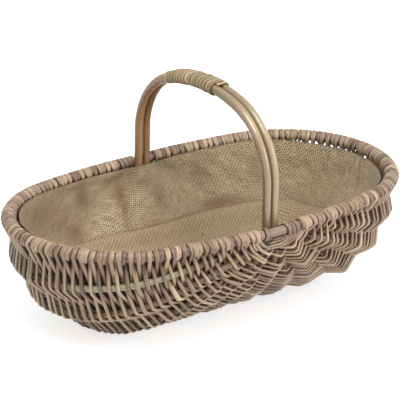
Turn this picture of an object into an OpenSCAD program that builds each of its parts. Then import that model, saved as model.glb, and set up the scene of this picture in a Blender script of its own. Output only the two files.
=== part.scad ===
// Oval willow garden trug: a frame basket with a fixed bow handle and a cloth lining.
// Millimetres. X runs along the basket, the handle stands across it in the plane x = 0,
// Z is up and the origin is the middle of the underside, on the ground.
// Every rib is a half oval that springs from the two handle feet, so a rib is set by the
// angle of its plane below the rim and by its reach. Right is +X and front is -Y.

/* [Overall] */
// Half the length of the rim, to the centre line of its hoop
rim_half_length = 291; // [260:1:350]
// Half the width of the rim at the handle, to the centre line of its hoop
rim_half_width = 164; // [148:1:180]
// Height of the rim's centre line above the ground
rim_height = 150; // [147:1:156]
// How far the right end of the rim rises, in degrees about the line between the handle feet
end_lift = 1.5; // [0:0.1:3]

/* [Rim] */
// Diameter of the hoop rod inside the wrapping
hoop_d = 12; // [9:0.5:13]
// How square the ends of the rim are: end radius over half width
rim_fullness = 0.917; // [0.82:0.001:0.95]

/* [Ribs] */
// Diameter of a rib rod
rib_d = 8.5; // [6:0.5:9.5]
// Diameter of a rib's whittled point
rib_point_d = 3; // [2:0.5:4]
// Length of the whittled point
rib_point_length = 18; // [12:1:26]
// Plane of each side rib and of the bottom rib, in degrees below the rim
rib_angles = [11, 22, 34, 48, 67, 90];
// Reach of the same ribs from the line between the handle feet
rib_reaches = [286, 273, 242, 190, 153, 141];
// Distance from the foot at which each of them starts
rib_starts = [100, 58, 102, 34, 65, 28];
// How square the bottom rib is
bottom_fullness = 0.836; // [0.78:0.001:0.88]

/* [Weaving] */
// Passes of the weaver from each handle foot to the middle
passes = 44; // [30:1:46]
// Thickness of a weaver
weaver_d = 4.8; // [3.6:0.1:5]
// Width of a weaver along the wall, where there is room for it
weaver_width = 6.2; // [4:0.1:7]
// Thickness of a weaver where it turns round the rim
wrap_d = 3; // [2:0.1:3.6]
// Gap between one weaver and the next on the wall
weaver_gap = 1.2; // [0.9:0.1:1.8]
// Gap between one turn and the next on the rim
wrap_gap = 0.8; // [0.5:0.1:1.5]
// Distance from the foot to the first pass, along the rim
first_pass = 32; // [30:1:44]
// Distance from the foot to the first pass, down the middle
first_under = 24; // [20:1:30]
// Clearance between a weaver and the rods that it passes
weave_clearance = 0.6; // [0.4:0.1:0.8]
// Weaver rods in each half of the basket
rods_per_half = 3; // [3:1:3]

/* [Handle] */
// Height of the handle's centre line above the rim
handle_rise = 163; // [140:1:200]
// Half the distance between the handle's feet
handle_half_span = 144; // [138:1:146]
// Diameter of each of the two handle rods
handle_rod_d = 13; // [10:0.5:14]
// Gap between the two handle rods
handle_rod_gap = 0.4; // [0.3:0.1:1]
// Radius of the handle's shoulders
shoulder_radius = 101; // [80:1:110]
// Radius of the handle's crown
crown_radius = 243; // [220:1:300]
// Radius to which the buried ends of the rods follow the wall
tail_radius = 160; // [130:1:180]
// Length of the buried ends of the rods below the rim
tail_length = 45; // [38:1:48]

/* [Grip binding] */
// Turns of the cane skein round the grip
grip_turns = 19; // [10:1:24]
// Width of the skein
skein_width = 5.6; // [3:0.1:5.8]
// Thickness of the skein
skein_thickness = 2.2; // [1.4:0.1:3]
// Where the binding starts along the handle, towards the front
grip_front = 39; // [30:1:50]
// Where the binding ends along the handle, towards the back
grip_back = 84; // [80:1:95]

/* [Foot lashings] */
// Turns round the hoop on each side of the rods
collar_turns = 2; // [1:1:2]
// Thickness of the lashing
lashing_d = 4; // [3:0.1:4.4]
// Clearance of a binding over the rods that it holds
binding_clearance = 0.4; // [0.3:0.1:0.6]

/* [Lining] */
// Thickness of the cloth with its hem
cloth_thickness = 2; // [1.5:0.1:3]
// Distance from the ribs' centre lines to the outside of the cloth
cloth_setback = 14; // [13:0.5:18]
// Depth of the cloth's top edge below the rim's centre line
cloth_top = 13; // [12:1:20]
// Depth of the seam between wall and base
seam_depth = 90; // [80:1:96]
// Depth of the base at its middle
base_depth = 125; // [118:1:126]
// Depth of the folds in the wall
fold_depth = 3; // [0:0.5:5]
// Number of folds round the wall
fold_count = 8; // [4:1:12]
// How far the wall bends in round the ends of the handle rods
rod_room = 19; // [17:0.5:22]
// Gap between the base and the wall at the seam
seam_gap = 0.3; // [0.2:0.1:0.5]

/* [Hidden] */

side_ribs = len(rib_angles) - 1;
last_line = 2 * len(rib_angles);      // lines are 0, the right rim, to this, the left rim
rod_sides = 4;
guide_step = 3;                       // every third line guides a pass even before its rib begins
turn_step = 67.5;                     // degrees between the rings of a turn round the rim
between_turn = 540;                   // degrees round the rim from one pass to the next
end_turn = 270;                       // degrees round the rim at a rod's end
end_width = 0.5;                      // width of a rod's thin end over its width elsewhere
leaving_width = 0.55;                 // the same where a weaver leaves the rim
leaving_radius = 1.15;                // its distance from the hoop there over that of the turns
leaving_shift = 0.12;                 // how far along the rim it leaves from its place, in passes
middle_shift = 1.1;                   // the same for the pass nearest the middle
start_width = 0.85;                   // width of a weaver beside a rib's start over its width elsewhere
underneath_from = -0.3;               // sine of the angle below which a turn is under the hoop
rest_passes = 6;                      // passes nearest the middle that lie flat under the bottom rib
rest_flat = 9;                        // half length of that flat
curve_sides = 96;
rod_fn = 24;
knuckle_rise = 0.2;
knuckle_length = 3;
knuckle_inset = 0.3;

willow = "tan";
peeled = "burlywood";
bound = "peru";
hessian = "darkkhaki";

function unit(v) = v / norm(v);
function clamp(v, lo, hi) = min(max(v, lo), hi);
function mix(a, b, f) = a + (b - a) * f;

// Plane angle and reach of line j, from the right rim round the bottom to the left rim
function mirrored(j) = j <= len(rib_angles) ? j : last_line - j;
function line_angle(j) =
    let (m = mirrored(j), a = m == 0 ? 0 : rib_angles[m - 1])
    j <= len(rib_angles) ? a - end_lift * pow(cos(a), 4) : 180 - a;
function line_reach(j) = mirrored(j) == 0 ? rim_half_length : rib_reaches[mirrored(j) - 1];
function line_start(j) = mirrored(j) == 0 ? 0 : rib_starts[mirrored(j) - 1];
function line_fullness(j) =
    let (m = mirrored(j), a = m == 0 ? 0 : rib_angles[m - 1])
    mix(rim_fullness, bottom_fullness, sin(a));

// A half oval in its own plane: side arcs at the feet and an end arc, all tangent.
// Gives [side radius, end radius, angle of the join]
function oval(reach, fullness) =
    let (b = rim_half_width)
    reach >= b
        ? let (e = fullness * b, s = (pow(reach - e, 2) + b * b - e * e) / (2 * (b - e)))
          [s, e, atan2(s - b, reach - e)]
        : let (s = fullness * reach, e = (reach * reach + pow(b - s, 2) - s * s) / (2 * (reach - s)))
          [s, e, atan2(b - s, e - reach)];
function line_oval(j) = oval(line_reach(j), line_fullness(j));
function side_length(o) = o[0] * (90 - o[2]) * PI / 180;
function oval_length(o) = 2 * side_length(o) + o[1] * 2 * o[2] * PI / 180;

// Point and tangent of an oval at distance s from the front foot: [reach, y, tangent, tangent]
function oval_at(o, reach, s) =
    let (b = rim_half_width, a = side_length(o), whole = oval_length(o))
    s > whole / 2
        ? let (p = oval_at(o, reach, whole - s)) [p[0], -p[1], -p[2], p[3]]
        : s < a
            ? let (f = -90 + s / o[0] * 180 / PI)
              [o[0] * cos(f), o[0] - b + o[0] * sin(f), -sin(f), cos(f)]
            : let (f = -o[2] + (s - a) / o[1] * 180 / PI)
              [reach - o[1] + o[1] * cos(f), o[1] * sin(f), -sin(f), cos(f)];

// The same in space for line j
function into_space(q, y, angle) = [q * cos(angle), y, -q * sin(angle)];
function line_point(j, s) =
    let (p = oval_at(line_oval(j), line_reach(j), s))
    into_space(p[0], p[1], line_angle(j)) + [0, 0, rim_height];
function line_tangent(j, s) =
    let (p = oval_at(line_oval(j), line_reach(j), s)) into_space(p[2], p[3], line_angle(j));

// Radius of rib j at distance s from a foot
function rib_radius(j, s) =
    mix(rib_point_d, rib_d, clamp((s - line_start(j)) / rib_point_length, 0, 1)) / 2;

// A rod bent to an arc, cut a hair short at both ends
module arc_rod(centre, radius, from, to, d) {
    trim = knuckle_inset / radius * 180 / PI;
    translate([centre[0], centre[1], 0])
        rotate([0, 0, from + trim])
            rotate_extrude(angle = to - from - 2 * trim, $fn = curve_sides)
                translate([radius, 0])
                    circle(d = d, $fn = rod_fn);
}

// The low knuckle of the rod that joins one bend to the next
module knuckle(x, y, heading, d)
    translate([x, y, 0])
        rotate([0, 0, heading])
            rotate([0, 90, 0])
                cylinder(d = d + knuckle_rise, h = knuckle_length, center = true, $fn = rod_fn);

// The half oval of line j in the XY plane, its side arcs ending at distance s from the feet
module oval_rod(j, s, d) {
    o = line_oval(j);
    reach = line_reach(j);
    b = rim_half_width;
    past = max(s - side_length(o), 0) / o[1] * 180 / PI;
    arc_rod([reach - o[1], 0], o[1], past - o[2], o[2] - past, d);
    if (past == 0)
        for (side = [0, 1])
            mirror([0, side, 0]) {
                arc_rod([0, b - o[0]], o[0], o[2], 90 - s / o[0] * 180 / PI, d);
                knuckle(reach - o[1] + o[1] * cos(o[2]), o[1] * sin(o[2]), o[2] + 90, d);
            }
}

module in_plane(j)
    translate([0, 0, rim_height])
        rotate([0, line_angle(j), 0])
            children();

module rim_hoop()
    color(willow) {
        in_plane(0) oval_rod(0, 0, hoop_d);
        in_plane(last_line) oval_rod(last_line, 0, hoop_d);
        for (side = [-1, 1])
            translate([0, 0, rim_height])
                knuckle(0, side * rim_half_width, 0, hoop_d);
    }

// A rib is a bent rod with a whittled point at each foot
module rib(j)
    color(willow)
        in_plane(j) {
            s = line_start(j) + rib_point_length;
            oval_rod(j, s, rib_d);
            for (side = [0, 1])
                mirror([0, side, 0]) rib_point(j, s);
        }

module rib_point(j, s) {
    o = line_oval(j);
    p = oval_at(o, line_reach(j), s);
    heading = atan2(-p[3], -p[2]);
    knuckle(p[0], p[1], heading, rib_d);
    translate([p[0], p[1], 0])
        rotate([0, 0, heading])
            rotate([0, 90, 0])
                translate([0, 0, knuckle_inset])
                    cylinder(d1 = rib_d, d2 = rib_point_d, h = rib_point_length, $fn = rod_fn);
}

// The handle in its own plane: Y is across the basket, Z is up from the rim
crown_join = asin((handle_half_span - shoulder_radius) / (crown_radius - shoulder_radius));
spring_height = handle_rise - crown_radius + (crown_radius - shoulder_radius) * cos(crown_join);
tail_angle = tail_length / tail_radius * 180 / PI;
rod_offset = (handle_rod_d + handle_rod_gap) / 2;

module handle_rod(x)
    color(peeled)
        translate([x, 0, rim_height])
            rotate([90, 0, 90]) {
                arc_rod([0, handle_rise - crown_radius], crown_radius,
                        90 - crown_join, 90 + crown_join, handle_rod_d);
                for (side = [0, 1])
                    mirror([side, 0, 0]) handle_leg();
            }

module handle_leg() {
    arc_rod([handle_half_span - shoulder_radius, spring_height], shoulder_radius,
            0, 90 - crown_join, handle_rod_d);
    translate([handle_half_span, knuckle_inset, 0])
        rotate([-90, 0, 0])
            cylinder(d = handle_rod_d, h = spring_height - 2 * knuckle_inset, $fn = rod_fn);
    arc_rod([handle_half_span - tail_radius, 0], tail_radius, -tail_angle, 0, handle_rod_d);
    knuckle(crown_radius * sin(crown_join),
            handle_rise - crown_radius + crown_radius * cos(crown_join), -crown_join, handle_rod_d);
    for (height = [0, spring_height])
        knuckle(handle_half_span, height, 90, handle_rod_d);
}

// Sweeps a ring of points along a path. Each ring is [centre, across, along the surface]
// with the half thicknesses already in the two vectors
function ring_points(ring, sides, turned) =
    [for (m = [0:sides - 1])
        let (a = 360 * m / sides + turned)
        ring[0] + ring[1] * cos(a) + ring[2] * sin(a)];
function tube_points(rings, sides, turned) =
    [for (r = rings) each ring_points(r, sides, turned)];
function tube_faces(n, sides) =
    [for (i = [0:n - 2]) for (m = [0:sides - 1])
        let (a = i * sides + m, b = i * sides + (m + 1) % sides, c = a + sides, d = b + sides)
        each [[a, c, b], [b, c, d]]];
function cap_faces(n, sides) =
    [for (m = [1:sides - 2]) each [[0, m, m + 1],
        [(n - 1) * sides, (n - 1) * sides + m + 1, (n - 1) * sides + m]]];
function floored(points) = [for (p = points) [p[0], p[1], max(p[2], 0)]];
module tube(rings, sides, turned = 0)
    polyhedron(floored(tube_points(rings, sides, turned)),
               concat(tube_faces(len(rings), sides), cap_faces(len(rings), sides)));

// The weaving. The passes share every line evenly between the first pass and the middle
function first_along(j) =
    mix(first_pass, first_under, abs(sin(line_angle(j))));
function pass_pitch(j) = (oval_length(line_oval(j)) / 2 - first_along(j)) / passes;
function along(j, k) = first_along(j) + (k + 0.5) * pass_pitch(j);
function has_rib(j, k) =
    j > 0 && j < last_line && along(j, k) > line_start(j) - weaver_width / 2 - weave_clearance;
function lines_at(k) = [for (j = [0:last_line]) if (j % guide_step == 0 || has_rib(j, k)) j];
// How many ribs a pass has crossed by line j, which sets the side it goes on
function ribs_before(j, k) = len([for (i = [0:j]) if (has_rib(i, k)) i]);

// Whether a rib begins between pass k and the next on either side
function beside_a_start(j, k) =
    ribs_before(j, k) != ribs_before(j, k - 1) || ribs_before(j, k) != ribs_before(j, k + 1);

// Surface normal at crossing i of a pass, from the lines either side and the line itself
function crossing_normal(lines, points, k, i) =
    let (across = points[i + 1] - points[i - 1], t = line_tangent(lines[i], along(lines[i], k)))
    unit(cross(across, t));

// How squarely the way from a to b crosses a line with tangent t: 1 is square
function squareness(a, b, t) = norm(cross(unit(b - a), t));

// How far a weaver stands off a rib, given the distance to the next lines
function stand_off(r, spacing) =
    let (m = r + weaver_d / 2 + weave_clearance, s = max(spacing, 2.5 * m))
    m / sqrt(1 - pow(2 * m / s, 2));

// Rings of pass k at the ribs, from the right rim to the left. A ring is a centre, the way
// its thickness lies, half its thickness and half its width
function pass_rings(k) =
    let (lines = lines_at(k), points = [for (j = lines) line_point(j, along(j, k))])
    [for (i = [1:len(lines) - 2])
        let (j = lines[i], n = crossing_normal(lines, points, k, i),
             side = !has_rib(j, k) ? 0 : (ribs_before(j, k) + k) % 2 == 0 ? 1 : -1,
             t = line_tangent(j, along(j, k)),
             spacing = min(norm(cross(points[i + 1] - points[i], t)),
                           norm(cross(points[i] - points[i - 1], t))),
             thickest = rib_radius(j, along(j, k) + weaver_width / 2),
             c = points[i] + n * side * stand_off(thickest, spacing),
             room = pass_pitch(j) * min(squareness(points[i], points[i + 1], t),
                                        squareness(points[i - 1], points[i], t)),
             squeezed = beside_a_start(j, k) ? start_width : 1,
             half_width = min(weaver_width, room - weaver_gap) / 2 * squeezed,
             flat = side > 0 && j == len(rib_angles) && k >= passes - rest_passes)
        each flat
            ? [[c + [rest_flat, 0, 0], n, weaver_d / 2, half_width],
               [c - [rest_flat, 0, 0], n, weaver_d / 2, half_width]]
            : [[c, n, weaver_d / 2, half_width]]];

// Turns round the rim at line j. They start outside or inside, as the weave there asks, and
// climb over the top. Between passes k and k + 1 they wind on; at a rod's thin end they don't
wrap_radius = (hoop_d / 2 + wrap_d / 2 + weave_clearance) / cos(turn_step / 2);
function wrap_rings(j, k, at_end, starts_outside) =
    let (turned = at_end ? end_turn : between_turn, steps = turned / turn_step,
         half_width = (at_end ? end_width : 1) * (pass_pitch(0) - wrap_gap) / 2)
    [for (i = [0:steps])
        let (f = i / steps, wound = 0.5 + (f - 0.5) * turned / 360,
             at_middle = k == passes - 2 && wound > 1,
             onward = at_end ? 0 : at_middle ? middle_shift : clamp(wound, -leaving_shift, 1 + leaving_shift),
             s = along(j, k) + onward * pass_pitch(j),
             p = line_point(j, s), t = line_tangent(j, s),
             level = unit(cross(t, [0, 0, 1])),
             out = level * (level * (p - [0, 0, p[2]]) > 0 ? 1 : -1),
             top = unit([0, 0, 1] - t * t[2]),
             leaving = i == 0 || (i == steps && !at_end),
             a = starts_outside ? turned * f : 180 - turned * f,
             underneath = sin(a) < underneath_from,
             r = out * cos(a) + top * sin(a))
        [p + r * wrap_radius * (leaving ? leaving_radius : 1), r, wrap_d / 2,
         half_width * (at_middle || leaving || underneath ? leaving_width : 1)]];

function backwards(list) = [for (i = [len(list) - 1:-1:0]) list[i]];

// One rod of the weaving, from pass a to pass b, back and forth, with a turn and a half round
// the rim between passes and one turn at each end
function rod_rings(a, b) =
    let (start = wrap_rings(0, a, true, (1 + a) % 2 != 0))
    concat(backwards(start),
    [for (k = [a:b])
        let (rings = pass_rings(k), leftwards = (k - a) % 2 == 0,
             last_out = ((leftwards ? ribs_before(last_line, k) : 1) + k) % 2 == 0)
        each concat(leftwards ? rings : backwards(rings),
                    wrap_rings(leftwards ? last_line : 0, k, k == b, !last_out))]);

// Frames for the rings: each ring's thickness keeps to the side on which the last one lay
function heading(rings, i) =
    let (n = len(rings)) unit(rings[min(i + 1, n - 1)][0] - rings[max(i - 1, 0)][0]);
function across(rings, i) =
    let (d = heading(rings, i)) unit(rings[i][1] - d * (rings[i][1] * d));
function framed(rings) =
    [for (i = 0, u = across(rings, 0); i < len(rings);
          i = i + 1,
          u = let (v = across(rings, min(i, len(rings) - 1))) v * (v * u < 0 ? -1 : 1))
        [rings[i][0], u * rings[i][2] * sqrt(2),
         cross(heading(rings, i), u) * rings[i][3] * sqrt(2)]];

rod_first = [for (i = [0:rods_per_half]) round(passes * i / rods_per_half)];
module weaver(half, i)
    color(willow)
        mirror([0, half, 0])
            tube(framed(rod_rings(rod_first[i], rod_first[i + 1] - 1)), rod_sides, 45);

// The grip binding: one skein wound round both rods along the crown and the back shoulder
function handle_at(y) =
    let (join = handle_half_span - shoulder_radius, a = asin(y / crown_radius),
         over = abs(a) > crown_join,
         s = asin(clamp((abs(y) - join) / shoulder_radius, 0, 1)), g = sign(y))
    over
        ? [[0, g * (join + shoulder_radius * sin(s)), spring_height + shoulder_radius * cos(s)],
           [0, g * sin(s), cos(s)]]
        : [[0, y, handle_rise - crown_radius + crown_radius * cos(a)], [0, sin(a), cos(a)]];

// Outline round the two rods: straight runs above and below, half rounds at the sides
bind_radius = handle_rod_d / 2 + binding_clearance + skein_thickness / 2;
run = 2 * rod_offset;
bind_length = 2 * run + 2 * PI * bind_radius;
function bind_outline(f) =
    let (s = f * bind_length, arc = PI * bind_radius)
    s < run ? [[s - run / 2, bind_radius], [0, 1]]
    : s < run + arc ? let (a = 90 - (s - run) / bind_radius * 180 / PI)
        [[run / 2 + bind_radius * cos(a), bind_radius * sin(a)], [cos(a), sin(a)]]
    : s < 2 * run + arc ? [[run / 2 - (s - run - arc), -bind_radius], [0, -1]]
    : let (a = -90 - (s - 2 * run - arc) / bind_radius * 180 / PI)
        [[-run / 2 + bind_radius * cos(a), bind_radius * sin(a)], [cos(a), sin(a)]];

turn_rings = 16;
skein_sides = 6;
skein_rings =
    [for (i = [0:grip_turns * turn_rings])
        let (f = i / turn_rings, y = mix(-grip_front, grip_back, f / grip_turns),
             h = handle_at(y), o = bind_outline(f - floor(f)), up = h[1],
             lengthwise = cross([1, 0, 0], up),
             out = [1, 0, 0] * o[1][0] + up * o[1][1])
        [h[0] + [0, 0, rim_height] + [1, 0, 0] * o[0][0] + up * o[0][1],
         out * skein_thickness / 2, lengthwise * skein_width / 2]];

// Least distance between one turn's centre line and the next, less the skein's width
function turn_gap(rings, per_turn, width) =
    min([for (i = [0:len(rings) - per_turn - 1]) for (j = [-2:2])
        if (i + per_turn + j < len(rings))
            norm(rings[i + per_turn + j][0] - rings[i][0])]) - width;
echo(grip_binding_least_gap = turn_gap(skein_rings, turn_rings, skein_width));

module grip_binding()
    color(bound) tube(skein_rings, skein_sides);

// A foot lashing is one strand: turns round the hoop to the left of the handle rods, across
// between hoop and rods, round both rods under the rim and across again, and turns round the
// hoop to their right
lashing_sides = 6;
collar_step = 45;                     // degrees between the rings of a turn
lash_gap = 0.4;                       // between one turn and the next
lash_play = 1;                        // between the lashing and what it passes
lash = lashing_d / 2 + binding_clearance;
lash_pitch = lashing_d + lash_gap;
collar_radius = (hoop_d / 2 + lash) / cos(collar_step / 2);
collar_inner = rod_offset + handle_rod_d / 2 + lash + lash_play;
collar_degrees = 360 * collar_turns;
// From the inside of the hoop, low down, over the top and round
collar = [for (a = [0:collar_step:collar_degrees])
    [collar_inner + a / 360 * lash_pitch,
     collar_radius * cos(a + 180 + collar_step) - rim_half_width,
     collar_radius * sin(a + 180 + collar_step) + rim_height]];
// Round the rods, as [rod, angle]: -1 is the left rod, 90 degrees its face to the hoop
band_way = [[-1, 90], [1, 90], [1, 45], [1, 0], [1, -45], [1, -90],
            [-1, -90], [-1, -45], [-1, 0], [-1, 45], [-1, 90], [1, 90]];
band_radius = (handle_rod_d / 2 + lash) / cos(collar_step / 2);
band_top = hoop_d / 2 + lashing_d + lash_play;
band = [for (i = [0:len(band_way) - 1])
    let (rod = band_way[i][0], a = band_way[i][1])
    [rod * (rod_offset + band_radius * cos(a)), -handle_half_span - band_radius * sin(a),
     rim_height - band_top - 2 * lash_pitch * i / len(band_way)]];
lashing_points = concat([for (p = backwards(collar)) [-p[0], p[1], p[2]]], band, collar);

module foot_lashing(back)
    color(bound)
        mirror([0, back, 0])
            tube(round_frames(lashing_points, lashing_d / 2), lashing_sides);

function path_heading(p, i) = unit(p[min(i + 1, len(p) - 1)] - p[max(i - 1, 0)]);
function any_side(d) = unit(cross(d, abs(d[2]) < 0.8 ? [0, 0, 1] : [1, 0, 0]));
function round_frames(p, r) =
    [for (i = 0, d = path_heading(p, 0), u = any_side(d); i < len(p);
          i = i + 1, d = path_heading(p, min(i, len(p) - 1)), u = unit(u - d * (u * d)))
        [p[i], u * r, cross(d, u) * r]];

// The lining follows the inside of the basket. A station is a share of the way along every
// line, and side is 0 for the right half of the basket and 1 for the left
function side_line(i, side) = side == 0 ? i : last_line - i;
function station(share, side) =
    [for (i = [0:len(rib_angles)])
        let (j = side_line(i, side)) line_point(j, share * oval_length(line_oval(j)))];
function depth_of(p) = rim_height - p[2];

// Point inside the wall at a station and a depth, set back from the lines
function inside_point(share, side, depth, setback) =
    let (p = station(share, side),
         over = [for (i = [0:len(p) - 2]) if (depth_of(p[i]) < depth) i],
         i = len(over) == 0 ? 0 : over[len(over) - 1],
         f = clamp((depth - depth_of(p[i])) / (depth_of(p[i + 1]) - depth_of(p[i])), 0, 1),
         at = mix(p[i], p[i + 1], f),
         j = side_line(i, side),
         n = cross(p[i + 1] - p[i], line_tangent(j, share * oval_length(line_oval(j)))),
         out = n * (n * (at - [0, 0, rim_height]) > 0 ? 1 : -1))
    at - setback * unit(abs(at[0]) < 1 ? [0, out[1], out[2]] : out);

bottom_oval = line_oval(len(rib_angles));
bottom_reach = rib_reaches[side_ribs];
end_fall = 0.9;                       // how much shallower the basket gets towards its ends
end_curve = 2.6;                      // and how late it does
// Share of the way along the bottom line at which it reaches a depth
function share_at(depth) =
    depth < bottom_oval[0] * cos(bottom_oval[2])
        ? bottom_oval[0] * asin(depth / bottom_oval[0]) * PI / 180 / oval_length(bottom_oval)
        : 0.5 - bottom_oval[1] * acos((depth - bottom_reach + bottom_oval[1]) / bottom_oval[1])
            * PI / 180 / oval_length(bottom_oval);
function bottom_depth(x, y) =
    let (o = bottom_oval,
         middle = abs(y) < o[1] * sin(o[2])
             ? bottom_reach - o[1] + sqrt(o[1] * o[1] - y * y)
             : sqrt(max(o[0] * o[0] - pow(abs(y) - rim_half_width + o[0], 2), 0)),
         flat = rib_reaches[3] * cos(rib_angles[3]),
         fall = clamp((abs(x) - flat) / (rim_half_length - flat), 0, 1))
    middle * (1 - end_fall * pow(fall, end_curve));

wall_columns = 48;
wall_depths = [cloth_top, 30, 50, 71, seam_depth];
base_shares = [1, 0.84, 0.6, 0.3];
base_columns = wall_columns / 2;

// The cloth bends in round the handle rods, and hangs in shallow folds
bay_half_width = 38;
bay_depth = 100;
bay_fade = 40;
function round_rods(x, z) =
    rod_room * exp(-pow(x / bay_half_width, 4)) * clamp((bay_depth - z) / bay_fade, 0, 1);
function fold(c, z) = fold_depth * (1 - cos(360 * fold_count * c / wall_columns)) / 2 * z / seam_depth;
function wall_point(c, z, inset) =
    let (half = wall_columns / 2, side = c % wall_columns < half ? 0 : 1,
         start = share_at(z), f = (c % half) / half,
         share = mix(start, 1 - start, side == 0 ? f : 1 - f),
         rim_depth = depth_of(station(share, side)[0]),
         p = inside_point(share, side, z + rim_depth * (1 - z / seam_depth),
                          cloth_setback + inset + fold(c, z)))
    [p[0], p[1] - sign(p[1]) * round_rods(p[0], z), p[2]];

module lining_wall()
    color(hessian) {
        n = wall_columns;
        rows = len(wall_depths);
        points = [for (inset = [0, cloth_thickness]) for (z = wall_depths) for (c = [0:n - 1])
            wall_point(c, z, inset)];
        side = rows * n;
        polyhedron(points, concat(
            [for (s = [0, 1]) for (r = [0:rows - 2]) for (c = [0:n - 1])
                let (a = s * side + r * n + c, b = s * side + r * n + (c + 1) % n)
                each s == 0 ? [[a, b, a + n], [b, b + n, a + n]] : [[a, a + n, b], [b, a + n, b + n]]],
            [for (r = [0, rows - 1]) for (c = [0:n - 1])
                let (a = r * n + c, b = r * n + (c + 1) % n)
                each r == 0 ? [[a, a + side, b], [b, a + side, b + side]]
                            : [[a, b, a + side], [b, b + side, a + side]]]));
    }

// The base lies inside the wall's lower edge and sags on to the bottom of the basket
sag_curve = 4;                        // how flat the base lies in the middle
least_sag = 0.9;                      // its least depth over that of the seam
function base_point(c, share, lift) =
    let (e = wall_point(2 * c, seam_depth, cloth_thickness + seam_gap),
         x = e[0] * share, y = e[1] * share,
         sag = mix(seam_depth, base_depth, 1 - pow(share, sag_curve)),
         lies = max(bottom_depth(x, y) - cloth_setback, seam_depth * least_sag))
    [x, y, (share == 1 ? e[2] : rim_height - min(sag, lies)) + lift];

module lining_base()
    color(hessian) {
        n = base_columns;
        rows = len(base_shares);
        side = rows * n + 1;
        points = concat(
            [for (r = [0:rows - 1]) for (c = [0:n - 1]) base_point(c, base_shares[r], 0)],
            [[0, 0, rim_height - base_depth]],
            [for (r = [0:rows - 1]) for (c = [0:n - 1])
                base_point(c, base_shares[r], cloth_thickness)],
            [[0, 0, rim_height - base_depth + cloth_thickness]]);
        polyhedron(points, concat(
            [for (s = [0, 1]) for (r = [0:rows - 2]) for (c = [0:n - 1])
                let (a = s * side + r * n + c, b = s * side + r * n + (c + 1) % n)
                each s == 0 ? [[a, b, a + n], [b, b + n, a + n]] : [[a, a + n, b], [b, a + n, b + n]]],
            [for (s = [0, 1]) for (c = [0:n - 1])
                let (a = s * side + (rows - 1) * n + c, b = s * side + (rows - 1) * n + (c + 1) % n,
                     m = s * side + rows * n)
                s == 0 ? [a, b, m] : [a, m, b]],
            [for (c = [0:n - 1])
                let (a = c, b = (c + 1) % n) each [[a, a + side, b], [b, a + side, b + side]]]));
    }

rim_hoop();
handle_rod(-rod_offset);  // handle_rod_left
handle_rod(rod_offset);  // handle_rod_right
grip_binding();
foot_lashing(0);  // foot_lashing_front
foot_lashing(1);  // foot_lashing_back
rib(1);  // rib_right_1
rib(2);  // rib_right_2
rib(3);  // rib_right_3
rib(4);  // rib_right_4
rib(5);  // rib_right_5
rib(6);  // rib_bottom
rib(7);  // rib_left_5
rib(8);  // rib_left_4
rib(9);  // rib_left_3
rib(10);  // rib_left_2
rib(11);  // rib_left_1
weaver(0, 0);  // weaver_front_1
weaver(0, 1);  // weaver_front_2
weaver(0, 2);  // weaver_front_3
weaver(1, 0);  // weaver_back_1
weaver(1, 1);  // weaver_back_2
weaver(1, 2);  // weaver_back_3
lining_wall();
lining_base();
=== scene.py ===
# Looks of an oval willow trug with a bow handle and a hessian lining.
# Lengths are in millimetres until a mesh is made. Right is +X, front is -Y, Z is up.
import math
import bpy
import numpy as np
from mathutils import Matrix, Vector


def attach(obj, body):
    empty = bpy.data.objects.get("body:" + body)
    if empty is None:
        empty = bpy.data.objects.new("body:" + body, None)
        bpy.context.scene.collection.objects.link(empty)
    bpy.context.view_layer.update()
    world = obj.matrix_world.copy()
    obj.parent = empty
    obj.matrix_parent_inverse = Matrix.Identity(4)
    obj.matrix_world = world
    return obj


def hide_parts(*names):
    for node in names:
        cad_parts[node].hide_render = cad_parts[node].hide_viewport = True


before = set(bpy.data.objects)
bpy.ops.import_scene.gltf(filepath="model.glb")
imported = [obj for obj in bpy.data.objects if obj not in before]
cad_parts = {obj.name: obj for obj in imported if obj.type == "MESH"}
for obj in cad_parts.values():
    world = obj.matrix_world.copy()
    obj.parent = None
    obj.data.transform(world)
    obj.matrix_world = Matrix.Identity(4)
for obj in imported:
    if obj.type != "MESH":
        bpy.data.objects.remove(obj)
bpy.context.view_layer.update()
mm = 0.001
pi = math.pi


# Part one: the frame's curves, as in the part's source

basket = {
    "rimHalfLength": 291.0,
    "rimHalfWidth": 164.0,
    "rimHeight": 150.0,
    "endLift": 1.5,
    "rimFullness": 0.917,
    "bottomFullness": 0.836,
    "ribAngles": [11.0, 22.0, 34.0, 48.0, 67.0, 90.0],
    "ribReaches": [286.0, 273.0, 242.0, 190.0, 153.0, 141.0],
    "ribStarts": [100.0, 58.0, 102.0, 34.0, 65.0, 28.0],
    "ribNames": ["rib_right_1", "rib_right_2", "rib_right_3", "rib_right_4", "rib_right_5", "rib_bottom",
                 "rib_left_5", "rib_left_4", "rib_left_3", "rib_left_2", "rib_left_1"],
}

bottomLine = len(basket["ribAngles"])
lastLine = 2 * bottomLine
lineNumbers = np.arange(lastLine + 1)
mirrored = np.minimum(lineNumbers, lastLine - lineNumbers)
plainAngle = np.radians(np.array([0.0] + basket["ribAngles"]))[mirrored]
liftedAngle = plainAngle - math.radians(basket["endLift"]) * np.cos(plainAngle) ** 4
lineAngle = np.where(lineNumbers <= bottomLine, liftedAngle, pi - plainAngle)
lineReach = np.array([basket["rimHalfLength"]] + basket["ribReaches"])[mirrored]
lineStart = np.array([0.0] + basket["ribStarts"])[mirrored]


def mix(a, b, share):
    return a + (b - a) * share


def smoothStep(x):
    # 3x2 - 2x3 between 0 and 1
    x = np.clip(x, 0, 1)
    return x * x * (3 - 2 * x)


def unit(v):
    return v / np.maximum(np.linalg.norm(v, axis=-1, keepdims=True), 1e-9)


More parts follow.
